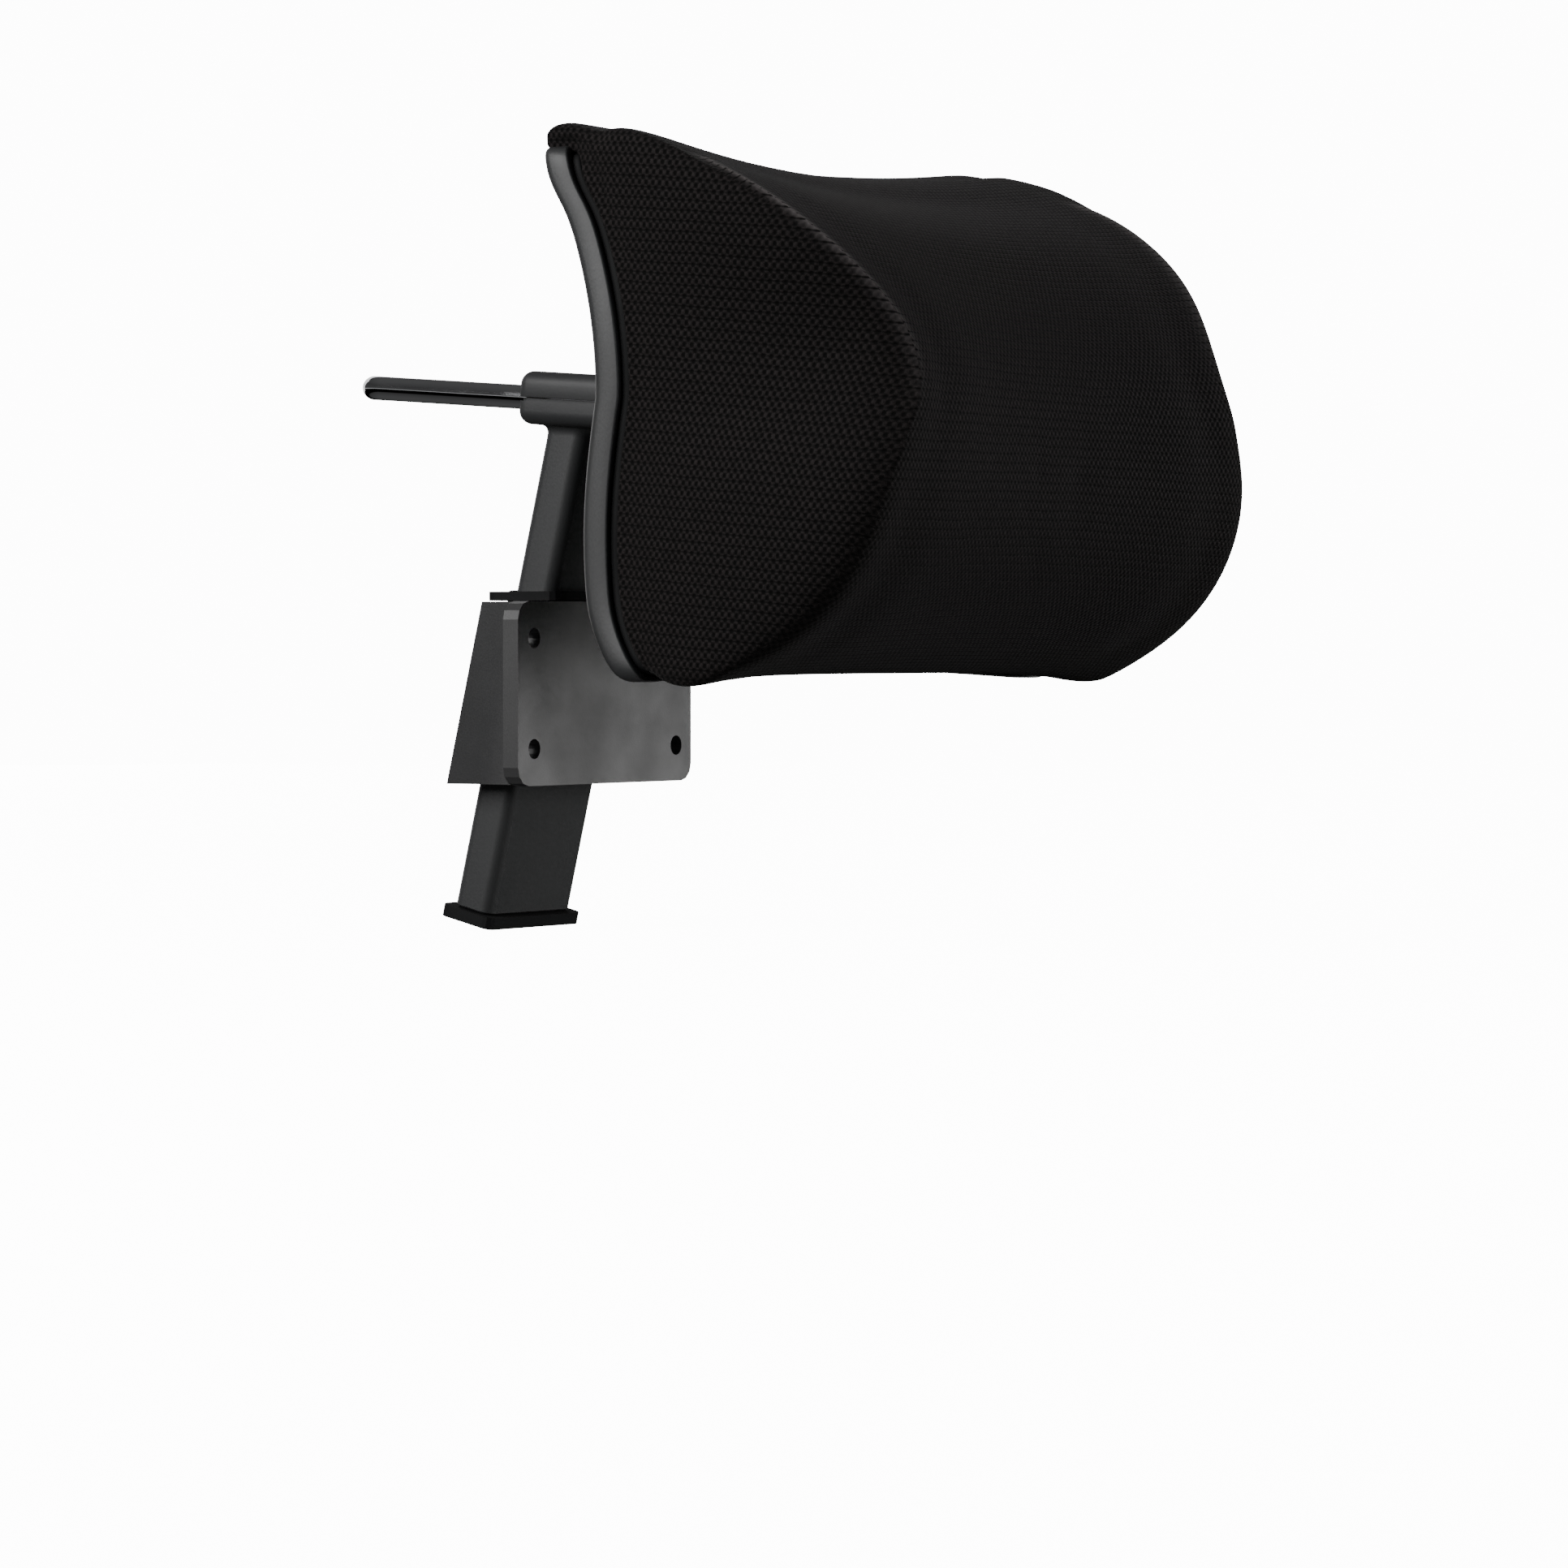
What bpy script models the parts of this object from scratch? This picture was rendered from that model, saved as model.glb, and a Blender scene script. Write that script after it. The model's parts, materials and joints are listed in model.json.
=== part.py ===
"""Chair headrest attachment: a tilting cushion on a sliding chrome rail, clamped on a height-adjustable stem.

World frame in metres: +X across the chair, +Y towards its rear, +Z up. The origin lies on the flat face
of the chair bracket that is bolted to the rear of the chair's frame.
"""
import bmesh
import bpy
from math import cos, exp, pi, radians, sin, sqrt, tan
from mathutils import Matrix, Vector

# Clearances
GAP = 0.0003                      # between pieces that touch
SLIDE_GAP = 0.0003                # around a sliding or turning fit
LOOSE_GAP = 0.0005                # where a piece only passes

# Stem, a straight bar that leans forward
STEM_LEAN = radians(13.5)
STEM_WIDTH = 0.048
STEM_DEPTH = 0.0155
STEM_EDGE = 0.003
STEM_RISE = 0.040                 # rise before the end stop meets the bracket
STEM_STANDOFF = 0.0211            # stem centre behind the mounting face at the bracket's mid-height
CLAMP_REACH = 0.0985              # from the bracket's mid-height up to the rail, along the stem

# Chair bracket
BRACKET_HEIGHT = 0.060
BRACKET_WALL = 0.004
BRACKET_SIDE_WALL = 0.009
FLANGE_WIDTH = 0.100
FLANGE_THICKNESS = 0.006
FLANGE_CORNER = 0.006
BOLT_HOLE_RADIUS = 0.0033
BOLT_SPACING_X = 0.082
BOLT_SPACING_Z = 0.036
COLLAR_FLANGE = 0.003
COLLAR_LIP = 0.0045
COLLAR_WALL = 0.0018
COLLAR_SPIGOT = 0.006
COLLAR_CORNER = 0.004

# Height brake, in a boss behind the socket
BRAKE_DROP = 0.006                # below the bracket's mid-height, along the stem
BRAKE_BORE_RADIUS = 0.0062
BRAKE_BOSS_WALL = 0.0033
BRAKE_SHOE_LENGTH = 0.0045
BRAKE_SPRING_LENGTH = 0.0075
BRAKE_PLUG_LENGTH = 0.0055
SPRING_WIRE_RADIUS = 0.0006
SPRING_TURNS = 4
SPRING_STEPS = 12                 # sections in each turn

# End stop under the stem
END_STOP_THICKNESS = 0.004
END_STOP_OVERHANG = 0.0025
END_SCREW_LENGTH = 0.012

# Clamp housing, split at the rail's mid-plane
CLAMP_WIDTH = 0.060
CLAMP_HEIGHT = 0.0175
CLAMP_REAR = 0.0175
CLAMP_FRONT = 0.031
CLAMP_EDGE = 0.0045
REVEAL_HEIGHT = 0.0011
REVEAL_DEPTH = 0.0011
BUSH_LENGTH = 0.007
BUSH_WALL = 0.0013
BUSH_SETBACK = 0.0022

# Rail brake, a shoe pressed up against both legs by an arched leaf spring
RAIL_SHOE_WIDTH = 0.010
RAIL_SHOE_HEIGHT = 0.0064
RAIL_SHOE_TOP = 0.0012            # below the rail's centre
RAIL_SHOE_OVERHANG = 0.002        # past the centre of each leg
LEAF_HALF_LENGTH = 0.010
LEAF_WIDTH = 0.007
LEAF_THICKNESS = 0.0006
LEAF_RISE = 0.0045

# Rail
RAIL_TILT = radians(4.2)
RAIL_RADIUS = 0.004
RAIL_SPACING = 0.042
RAIL_BEND_RADIUS = 0.009
RAIL_BEND_STEPS = 8
RAIL_REAR = 0.0865                # centre of the cross run behind the stem's centre
CARRIER_GAP = 0.0108              # room for the slide between carrier and clamp
RAIL_GRIP = 0.0097                # rail length held in the carrier
PIN_RADIUS = 0.0015

# Pivot carrier and tilt hinge
CARRIER_WALL = 0.0035
CARRIER_EDGE = 0.0015
KNUCKLE_RADIUS = 0.007
AXLE_RADIUS = 0.003
AXLE_TO_RAIL_END = 0.006
WASHER_THICKNESS = 0.0012
WASHER_RADIUS = 0.0065
EAR_THICKNESS = 0.004
EAR_RADIUS = 0.0072
BASE_THICKNESS = 0.003
BASE_HEIGHT = 0.030
BASE_CORNER = 0.003
SEAT_MARGIN = 0.002               # shell's flat seat around the hinge base
AXLE_HEAD = 0.003
AXLE_HEAD_RADIUS = 0.0055
AXLE_HEAD_FLAT = 0.6              # flat top of the head, share of its radius
NUT_THICKNESS = 0.0045
NUT_RADIUS = 0.0057

# Screws
SCREW_RADIUS = 0.0015
SCREW_HEAD_RADIUS = 0.00275
SCREW_HEAD = 0.0018
SCREW_HEAD_FLAT = 0.75            # flat top of the head, share of its radius
SCREW_RECESS_RADIUS = 0.0012
SCREW_RECESS_DEPTH = 0.0011
SCREW_FLOOR = 0.00225             # plastic left under the clamp screws' holes
CLAMP_SCREW_X = 0.010
CLAMP_SCREW_REAR = 0.0125
CLAMP_SCREW_FRONT = 0.0235
HINGE_SCREW_X = 0.020
HINGE_SCREW_Z = 0.0108

# Back shell and inner plate, heights measured from the tilt axis
SHELL_HALF_WIDTH = 0.122
SHELL_TOP = 0.0795
SHELL_BOTTOM = 0.0875
SHELL_STANDOFF = 0.0135           # shell's rear face ahead of the tilt axis, at the centre
SHELL_BOW = 0.010                 # side edges ahead of the centre
SHELL_FLARE = 0.0210              # top edge behind the waist
SHELL_BELLY = 0.0045              # lower part behind the waist
SHELL_TUCK = 0.012                # bottom edge curling forward
TUCK_START = 0.7                  # where the curl starts, share of the way down
SHELL_RIM = 0.007                 # depth of the edge, against the skin's thickness inside it
RIM_START = 0.95                  # where the edge starts, share of the way out
SHELL_SKIN = 0.0035
SHELL_PAD = 0.0026                # flat seat standing proud for the hinge base
TOP_DIP = 0.008                   # top edge lower at the centre than at the ears
BOTTOM_ARCH = 0.004
CORNER_POWER = 26                 # corners of the front view; higher is squarer
PLATE_THICKNESS = 0.0022
PLATE_INSET = 0.001
BOSS_RADIUS = 0.004
BOSS_GAP = 0.0008                 # to the shell's curved inner face

# Cushion
PAD_INSET = 0.0018
PAD_GAP = 0.0005
NOSE_DEPTH = 0.117                # greatest depth, ahead of the pad's base plane
NOSE_BASE = 0.0108                # base plane ahead of the tilt axis
NOSE_DROP = 0.0055                # height of greatest depth below the tilt axis
NOSE_UP = 0.0875
NOSE_DOWN = 0.0845
NOSE_UP_POWER = 1.82
NOSE_DOWN_POWER = 2.8
NOSE_TAPER = 0.08
NOSE_SWEEP = radians(64)
NOSE_EDGE_POWER = 14              # front edges in plan; higher is squarer
RIDGE_HALF_WIDTH = 0.120
RIDGE_PINCH = 0.020
PINCH_HEIGHT = 0.0135
PINCH_REACH = 0.032
CRADLE_DEPTH = 0.012
TOP_SWELL = 0.009
BOTTOM_SWELL = 0.005
CHEEK_SWELL = 0.004
COVER_THICKNESS = 0.0015
FOAM_INSET = 0.0021

# Grid lines on the curved pieces, as shares of the half width, half height or depth
HALF_CUTS = [0.2, 0.45, 0.7, 0.9, 0.97]
CUTS = sorted([-place for place in HALF_CUTS] + [0.0] + HALF_CUTS)
DEPTH_CUTS = [0.07, 0.22, 0.45, 0.7, 0.9]

# Derived sizes
STOP_CORNER = (STEM_DEPTH / 2 + END_STOP_OVERHANG) * tan(STEM_LEAN)
STEM_BELOW = BRACKET_HEIGHT / 2 / cos(STEM_LEAN) + STEM_RISE + STOP_CORNER + 2 * GAP
RAIL_X = RAIL_SPACING / 2
BUSH_BORE = RAIL_RADIUS + SLIDE_GAP
BUSH_RADIUS = BUSH_BORE + BUSH_WALL
CARRIER_REAR = CLAMP_FRONT + CARRIER_GAP
RAIL_END = CARRIER_REAR + RAIL_GRIP
HINGE_REACH = RAIL_END + AXLE_TO_RAIL_END
CARRIER_HALF_WIDTH = RAIL_X + RAIL_RADIUS + CARRIER_WALL
CARRIER_HALF_HEIGHT = RAIL_RADIUS + CARRIER_WALL
EAR_INNER = CARRIER_HALF_WIDTH + WASHER_THICKNESS + 2 * GAP
EAR_OUTER = EAR_INNER + EAR_THICKNESS
SEAT_Y = -SHELL_STANDOFF + SHELL_PAD
BASE_FRONT = SEAT_Y + GAP
BASE_REAR = BASE_FRONT + BASE_THICKNESS
PLATE_REAR = SHELL_RIM + GAP
PLATE_FRONT = PLATE_REAR + PLATE_THICKNESS
SIDES = {"left": -1, "right": 1}


def make_material(name, colour, roughness, metallic=0.0):
    material = bpy.data.materials.new(name)
    material.use_nodes = True
    shader = material.node_tree.nodes["Principled BSDF"]
    shader.inputs["Base Color"].default_value = (*colour, 1)
    shader.inputs["Roughness"].default_value = roughness
    shader.inputs["Metallic"].default_value = metallic
    return material


def clear_scene():
    for item in list(bpy.data.objects):
        bpy.data.objects.remove(item, do_unlink=True)


def new_collection(name):
    collection = bpy.data.collections.new(name)
    bpy.context.scene.collection.children.link(collection)
    return collection


clear_scene()
PARTS = new_collection("chair_headrest_attachment")
CUTTERS = new_collection("cutters")
MATERIALS = {
    "shell_plastic": make_material("shell_plastic", (0.035, 0.035, 0.036), 0.45),
    "housing_plastic": make_material("housing_plastic", (0.040, 0.041, 0.042), 0.45),
    "inner_plastic": make_material("inner_plastic", (0.012, 0.012, 0.013), 0.55),
    "bearing_plastic": make_material("bearing_plastic", (0.30, 0.30, 0.29), 0.5),
    "chrome": make_material("chrome", (0.75, 0.76, 0.78), 0.08, 1.0),
    "zinc_steel": make_material("zinc_steel", (0.55, 0.56, 0.58), 0.35, 1.0),
    "spring_steel": make_material("spring_steel", (0.30, 0.31, 0.33), 0.3, 1.0),
    "bracket_paint": make_material("bracket_paint", (0.020, 0.020, 0.021), 0.5),
    "foam": make_material("foam", (0.16, 0.16, 0.17), 0.95),
    "knit_fabric": make_material("knit_fabric", (0.012, 0.011, 0.011), 0.9),
}


# Shared modelling helpers

def frame_empty(name, parent, at, turn):
    """Empty that carries the pieces of one moving body; turn is about X."""
    empty = bpy.data.objects.new(name, None)
    empty.empty_display_size = 0.01
    empty.parent = parent
    empty.location = at
    empty.rotation_euler = (turn, 0, 0)
    PARTS.objects.link(empty)
    return empty


def add_object(name, data, frame, material, at=(0, 0, 0), turn=(0, 0, 0)):
    """Object in a frame; with no material it is a cutter."""
    item = bpy.data.objects.new(name, data)
    item.parent = frame
    item.location = at
    item.rotation_euler = turn
    if material:
        data.materials.append(MATERIALS[material])
        PARTS.objects.link(item)
    else:
        item.hide_render = True
        item.display_type = "WIRE"
        CUTTERS.objects.link(item)
    return item


def mesh_from(bm, name):
    mesh = bpy.data.meshes.new(name)
    bm.to_mesh(mesh)
    bm.free()
    return mesh


def shade_smooth(item, angle=radians(35)):
    item.data.shade_smooth()
    item.data.set_sharp_from_angle(angle=angle)
    return item


def block(name, size, frame, material=None, at=(0, 0, 0), edge=0.0, along=None):
    """Box with rounded edges: all of them, or only those parallel to one axis (0, 1 or 2)."""
    bm = bmesh.new()
    bmesh.ops.create_cube(bm, size=1.0)
    bmesh.ops.scale(bm, vec=size, verts=bm.verts)
    if edge > 0:
        chosen = [e for e in bm.edges if along is None or is_parallel(e, along)]
        bmesh.ops.bevel(bm, geom=chosen, offset=edge, segments=3, profile=0.5, affect="EDGES")
    item = add_object(name, mesh_from(bm, name), frame, material, at)
    return shade_smooth(item) if edge > 0 else item


def is_parallel(edge, axis):
    run = edge.verts[1].co - edge.verts[0].co
    return abs(run[axis]) > 0.999 * run.length


def rod(name, radius, length, frame, material=None, at=(0, 0, 0), axis=2, segments=24):
    """Solid cylinder centred at a point, along one axis (0, 1 or 2)."""
    bm = bmesh.new()
    bmesh.ops.create_cone(bm, cap_ends=True, segments=segments, radius1=radius, radius2=radius, depth=length)
    turn = {0: (0, pi / 2, 0), 1: (pi / 2, 0, 0), 2: (0, 0, 0)}[axis]
    return shade_smooth(add_object(name, mesh_from(bm, name), frame, material, at, turn))


def turned(name, profile, frame, material, at=(0, 0, 0), turn=(0, 0, 0), closed=False, steps=24):
    """Solid of revolution about Z from (radius, height) points that run down the outer side."""
    bm = bmesh.new()
    verts = [bm.verts.new((radius, 0, height)) for radius, height in profile]
    for first, second in zip(verts, verts[1:]):
        bm.edges.new((first, second))
    if closed:
        bm.edges.new((verts[-1], verts[0]))
    mesh = bpy.data.meshes.new(name)
    bm.to_mesh(mesh)
    bm.free()
    item = add_object(name, mesh, frame, material, at, turn)
    screw = item.modifiers.new("turn", "SCREW")
    screw.axis = "Z"
    screw.steps = steps
    screw.render_steps = steps
    screw.use_smooth_shade = False
    screw.use_merge_vertices = True
    screw.merge_threshold = 0.00001
    return item


def ring(name, bore, radius, thickness, frame, material, at, turn=(0, 0, 0)):
    """Flat or long ring centred at a point, its axis along Z before the turn."""
    half = thickness / 2
    profile = [(bore, half), (radius, half), (radius, -half), (bore, -half)]
    return turned(name, profile, frame, material, at, turn, closed=True, steps=18)


def combine(target, tool, operation):
    modifier = target.modifiers.new(tool.name, "BOOLEAN")
    modifier.operation = operation
    modifier.solver = "EXACT"
    modifier.object = tool
    return target


def cut(target, *tools):
    for tool in tools:
        combine(target, tool, "DIFFERENCE")
    return target


def unite(target, *tools):
    for tool in tools:
        combine(target, tool, "UNION")
    return target


def pan_screw(name, length, frame, at, turn):
    """Pan head screw: the head's seat lies at the point given and the shank runs along local -Z."""
    rim = SCREW_HEAD_RADIUS * SCREW_HEAD_FLAT
    head = SCREW_HEAD_RADIUS
    profile = [(0, SCREW_HEAD), (rim, SCREW_HEAD), (head, SCREW_HEAD / 2), (head, 0), (SCREW_RADIUS, 0),
               (SCREW_RADIUS, -length), (0, -length)]
    screw = turned(name, profile, frame, "zinc_steel", at, turn, steps=12)
    recess = rod(name + "_recess", SCREW_RECESS_RADIUS, 2 * SCREW_RECESS_DEPTH, frame, segments=6)
    recess.rotation_euler = turn
    recess.location = Vector(at) + Matrix.Rotation(turn[0], 3, "X") @ Vector((0, 0, SCREW_HEAD))
    return cut(screw, recess)


# Frames of the moving bodies

STEM = frame_empty("stem_frame", None, (0, STEM_STANDOFF, 0), STEM_LEAN)
RAIL = frame_empty("rail_frame", STEM, (0, 0, CLAMP_REACH), RAIL_TILT - STEM_LEAN)
HINGE = frame_empty("hinge_frame", RAIL, (0, -HINGE_REACH, 0), -RAIL_TILT)


# Chair bracket

def stem_block(name, grow, low, high, material=None):
    """Length of the stem's section, grown on every side, between two heights along the stem."""
    size = (STEM_WIDTH + 2 * grow, STEM_DEPTH + 2 * grow, high - low)
    at = (0, 0, (low + high) / 2)
    return block(name, size, STEM, material, at, edge=STEM_EDGE + grow, along=2)


def make_bracket():
    half = BRACKET_HEIGHT / 2
    body_half_width = STEM_WIDTH / 2 + LOOSE_GAP + BRACKET_SIDE_WALL
    rear_room = (STEM_DEPTH / 2 + LOOSE_GAP + BRACKET_WALL) / cos(STEM_LEAN)
    bm = bmesh.new()
    bmesh.ops.create_cube(bm, size=1.0)
    for vert in bm.verts:
        height = vert.co.z * BRACKET_HEIGHT
        rear = STEM_STANDOFF - height * tan(STEM_LEAN) + rear_room
        vert.co = (vert.co.x * 2 * body_half_width, rear if vert.co.y > 0 else FLANGE_THICKNESS / 2, height)
    body = add_object("bracket_body", mesh_from(bm, "bracket_body"), None, None)
    bracket = block("chair_bracket", (FLANGE_WIDTH, FLANGE_THICKNESS, BRACKET_HEIGHT), None, "bracket_paint",
                    (0, FLANGE_THICKNESS / 2, 0), edge=FLANGE_CORNER, along=1)
    wall_y = STEM_DEPTH / 2 + LOOSE_GAP + BRACKET_WALL / 2
    boss_length = brake_end() - wall_y
    boss = rod("brake_boss", BRAKE_BORE_RADIUS + BRAKE_BOSS_WALL, boss_length, STEM,
               at=(0, wall_y + boss_length / 2, -BRAKE_DROP), axis=1)
    unite(bracket, body, boss)
    socket = stem_block("socket", LOOSE_GAP, -BRACKET_HEIGHT, BRACKET_HEIGHT)
    recess = stem_block("collar_recess", SLIDE_GAP + COLLAR_WALL + GAP,
                        half / cos(STEM_LEAN) - COLLAR_SPIGOT, BRACKET_HEIGHT)
    bore_length = brake_end() + COLLAR_SPIGOT
    bore = rod("brake_bore", BRAKE_BORE_RADIUS, bore_length, STEM,
               at=(0, bore_length / 2, -BRAKE_DROP), axis=1)
    cut(bracket, socket, recess, bore)
    for x in (-BOLT_SPACING_X / 2, BOLT_SPACING_X / 2):
        for z in (-BOLT_SPACING_Z / 2, BOLT_SPACING_Z / 2):
            hole = rod("bolt_hole", BOLT_HOLE_RADIUS, 3 * FLANGE_THICKNESS, None, at=(x, 0, z), axis=1)
            cut(bracket, hole)


def brake_end():
    """Rear face of the brake boss behind the stem's centre."""
    return STEM_DEPTH / 2 + BRAKE_SHOE_LENGTH + BRAKE_SPRING_LENGTH + BRAKE_PLUG_LENGTH + 4 * GAP


def make_collar():
    top = BRACKET_HEIGHT / 2
    centre_y = STEM_STANDOFF - top * tan(STEM_LEAN)
    size = (STEM_WIDTH + 2 * (COLLAR_WALL + COLLAR_LIP), STEM_DEPTH + 2 * (COLLAR_WALL + COLLAR_LIP) - GAP,
            COLLAR_FLANGE)
    collar = block("socket_collar", size, None, "inner_plastic", (0, centre_y, top + GAP + COLLAR_FLANGE / 2),
                   edge=COLLAR_CORNER, along=2)
    spigot_top = (top + COLLAR_FLANGE / 2) / cos(STEM_LEAN)
    spigot_low = top / cos(STEM_LEAN) - COLLAR_SPIGOT + GAP
    spigot = stem_block("collar_spigot", SLIDE_GAP + COLLAR_WALL, spigot_low, spigot_top)
    opening = stem_block("collar_opening", SLIDE_GAP, 0, 2 * BRACKET_HEIGHT)
    cut(unite(collar, spigot), opening)


def make_height_brake():
    radius = BRAKE_BORE_RADIUS - SLIDE_GAP
    shoe_y = STEM_DEPTH / 2 + GAP
    spring_y = shoe_y + BRAKE_SHOE_LENGTH + GAP
    plug_y = spring_y + BRAKE_SPRING_LENGTH + GAP
    rod("height_brake_shoe", radius, BRAKE_SHOE_LENGTH, STEM, "bearing_plastic",
        (0, shoe_y + BRAKE_SHOE_LENGTH / 2, -BRAKE_DROP), axis=1)
    plug = rod("height_brake_plug", radius, BRAKE_PLUG_LENGTH, STEM, "zinc_steel",
               (0, plug_y + BRAKE_PLUG_LENGTH / 2, -BRAKE_DROP), axis=1)
    recess = rod("plug_recess", radius / 2, BRAKE_PLUG_LENGTH, STEM,
                 at=(0, plug_y + BRAKE_PLUG_LENGTH, -BRAKE_DROP), axis=1, segments=6)
    cut(plug, recess)
    coil_radius = radius - SPRING_WIRE_RADIUS - SLIDE_GAP
    make_coil("height_brake_spring", coil_radius, BRAKE_SPRING_LENGTH - 2 * SPRING_WIRE_RADIUS,
              (0, spring_y + SPRING_WIRE_RADIUS, -BRAKE_DROP))


def make_coil(name, radius, length, at):
    """Round-wire spring along the stem frame's Y."""
    count = SPRING_TURNS * SPRING_STEPS
    curve = bpy.data.curves.new(name, "CURVE")
    curve.dimensions = "3D"
    curve.bevel_depth = SPRING_WIRE_RADIUS
    curve.bevel_resolution = 2
    curve.use_fill_caps = True
    spline = curve.splines.new("POLY")
    spline.points.add(count)
    for i, point in enumerate(spline.points):
        angle = 2 * pi * i / SPRING_STEPS
        point.co = (radius * cos(angle), length * i / count, radius * sin(angle), 1)
    add_object(name, curve, STEM, "spring_steel", at)


# Post: stem and lower half of the clamp in one moulding

def clamp_half(name, upper, material):
    """Half of the rounded housing, on one side of the rail's mid-plane."""
    low, high = (GAP / 2, CLAMP_HEIGHT / 2) if upper else (-CLAMP_HEIGHT / 2, -REVEAL_HEIGHT)
    bm = bmesh.new()
    bmesh.ops.create_cube(bm, size=1.0)
    bmesh.ops.scale(bm, vec=(CLAMP_WIDTH, CLAMP_REAR + CLAMP_FRONT, CLAMP_HEIGHT), verts=bm.verts)
    bmesh.ops.translate(bm, vec=(0, (CLAMP_REAR - CLAMP_FRONT) / 2, 0), verts=bm.verts)
    bmesh.ops.bevel(bm, geom=bm.edges, offset=CLAMP_EDGE, segments=3, profile=0.5, affect="EDGES")
    plane = low if upper else high
    bmesh.ops.bisect_plane(bm, geom=bm.verts[:] + bm.edges[:] + bm.faces[:], plane_co=(0, 0, plane),
                           plane_no=(0, 0, 1), clear_inner=upper, clear_outer=not upper)
    bmesh.ops.holes_fill(bm, edges=[e for e in bm.edges if e.is_boundary])
    bmesh.ops.recalc_face_normals(bm, faces=bm.faces)
    return shade_smooth(add_object(name, mesh_from(bm, name), RAIL, material))


def rail_channels(name, target):
    """Holes for the two legs, with wider seats for their bushes."""
    length = CLAMP_REAR + CLAMP_FRONT
    for side, sign in SIDES.items():
        x = sign * RAIL_X
        channel = rod(f"{name}_channel_{side}", RAIL_RADIUS + LOOSE_GAP, 2 * length, RAIL, at=(x, 0, 0), axis=1)
        cut(target, channel)
        for end, y in bush_places().items():
            seat = rod(f"{name}_seat_{side}_{end}", BUSH_RADIUS + GAP, BUSH_LENGTH + 2 * GAP, RAIL,
                       at=(x, y, 0), axis=1)
            cut(target, seat)


def bush_places():
    inset = BUSH_SETBACK + BUSH_LENGTH / 2
    return {"rear": CLAMP_REAR - inset, "front": -CLAMP_FRONT + inset}


def clamp_screw_places():
    return [(x, y) for y in (CLAMP_SCREW_REAR, -CLAMP_SCREW_FRONT) for x in (-CLAMP_SCREW_X, CLAMP_SCREW_X)]


def shoe_levels():
    """Heights of the rail shoe's underside, the leaf spring's crown and the floor it stands on."""
    underside = -RAIL_SHOE_TOP - RAIL_SHOE_HEIGHT
    crown = underside - GAP - LEAF_THICKNESS / 2
    floor = crown - LEAF_RISE - LEAF_THICKNESS / 2 - GAP
    return underside, crown, floor


def make_post():
    stem_top = CLAMP_REACH - CLAMP_HEIGHT / 4
    post = stem_block("post", 0, -STEM_BELOW, stem_top, "housing_plastic")
    lower = clamp_half("clamp_lower", False, None)
    land_size = (CLAMP_WIDTH - 2 * REVEAL_DEPTH, CLAMP_REAR + CLAMP_FRONT - 2 * REVEAL_DEPTH,
                 2 * REVEAL_HEIGHT)
    land = block("clamp_land", land_size, RAIL,
                 at=(0, (CLAMP_REAR - CLAMP_FRONT) / 2, -GAP / 2 - REVEAL_HEIGHT),
                 edge=CLAMP_EDGE - REVEAL_DEPTH, along=2)
    unite(post, lower, land)
    rail_channels("lower", post)
    underside, _, floor = shoe_levels()
    shoe_room = 2 * (RAIL_X + RAIL_SHOE_OVERHANG + GAP)
    pocket = block("shoe_pocket", (shoe_room, RAIL_SHOE_WIDTH + 2 * GAP, -2 * (underside - GAP)), RAIL)
    leaf_size = (2 * (LEAF_HALF_LENGTH + LOOSE_GAP), LEAF_WIDTH + 2 * LOOSE_GAP, -floor)
    leaf_room = block("leaf_pocket", leaf_size, RAIL, at=(0, 0, floor / 2))
    cut(post, pocket, leaf_room)
    for i, (x, y) in enumerate(clamp_screw_places(), 1):
        hole = rod(f"screw_hole_{i}", SCREW_RADIUS + GAP, 2 * clamp_screw_bite(), RAIL, at=(x, y, 0), segments=20)
        cut(post, hole)
    tapped = rod("end_screw_hole", SCREW_RADIUS + GAP, 2 * END_SCREW_LENGTH, STEM, at=(0, 0, -STEM_BELOW))
    cut(post, tapped)


def clamp_screw_seat():
    """Height of the clamp screws' head seats, sunk into the cover's top."""
    return CLAMP_HEIGHT / 2 - SCREW_HEAD - 2 * GAP


def clamp_screw_bite():
    """Depth of the clamp screws' holes below the rail's mid-plane."""
    return CLAMP_HEIGHT / 2 - SCREW_FLOOR


def make_clamp_cover():
    cover = clamp_half("clamp_cover", True, "housing_plastic")
    rail_channels("upper", cover)
    seat = clamp_screw_seat()
    for i, (x, y) in enumerate(clamp_screw_places(), 1):
        hole = rod(f"cover_hole_{i}", SCREW_RADIUS + GAP, 2 * CLAMP_HEIGHT, RAIL, at=(x, y, 0), segments=20)
        sink = rod(f"screw_sink_{i}", SCREW_HEAD_RADIUS + GAP, CLAMP_HEIGHT, RAIL,
                   at=(x, y, seat + CLAMP_HEIGHT / 2), segments=20)
        cut(cover, hole, sink)
        pan_screw(f"clamp_screw_{i}", seat + clamp_screw_bite(), RAIL, (x, y, seat + GAP), (0, 0, 0))


def make_end_stop():
    size = (STEM_WIDTH + 2 * END_STOP_OVERHANG, STEM_DEPTH + 2 * END_STOP_OVERHANG, END_STOP_THICKNESS)
    low = -STEM_BELOW - GAP - END_STOP_THICKNESS
    stop = block("post_end_stop", size, STEM, "inner_plastic", (0, 0, low + END_STOP_THICKNESS / 2),
                 edge=STEM_EDGE, along=2)
    cut(stop, rod("stop_hole", SCREW_RADIUS + GAP, 3 * END_STOP_THICKNESS, STEM, at=(0, 0, low)))
    pan_screw("post_end_screw", END_SCREW_LENGTH, STEM, (0, 0, low - GAP), (pi, 0, 0))


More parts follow.
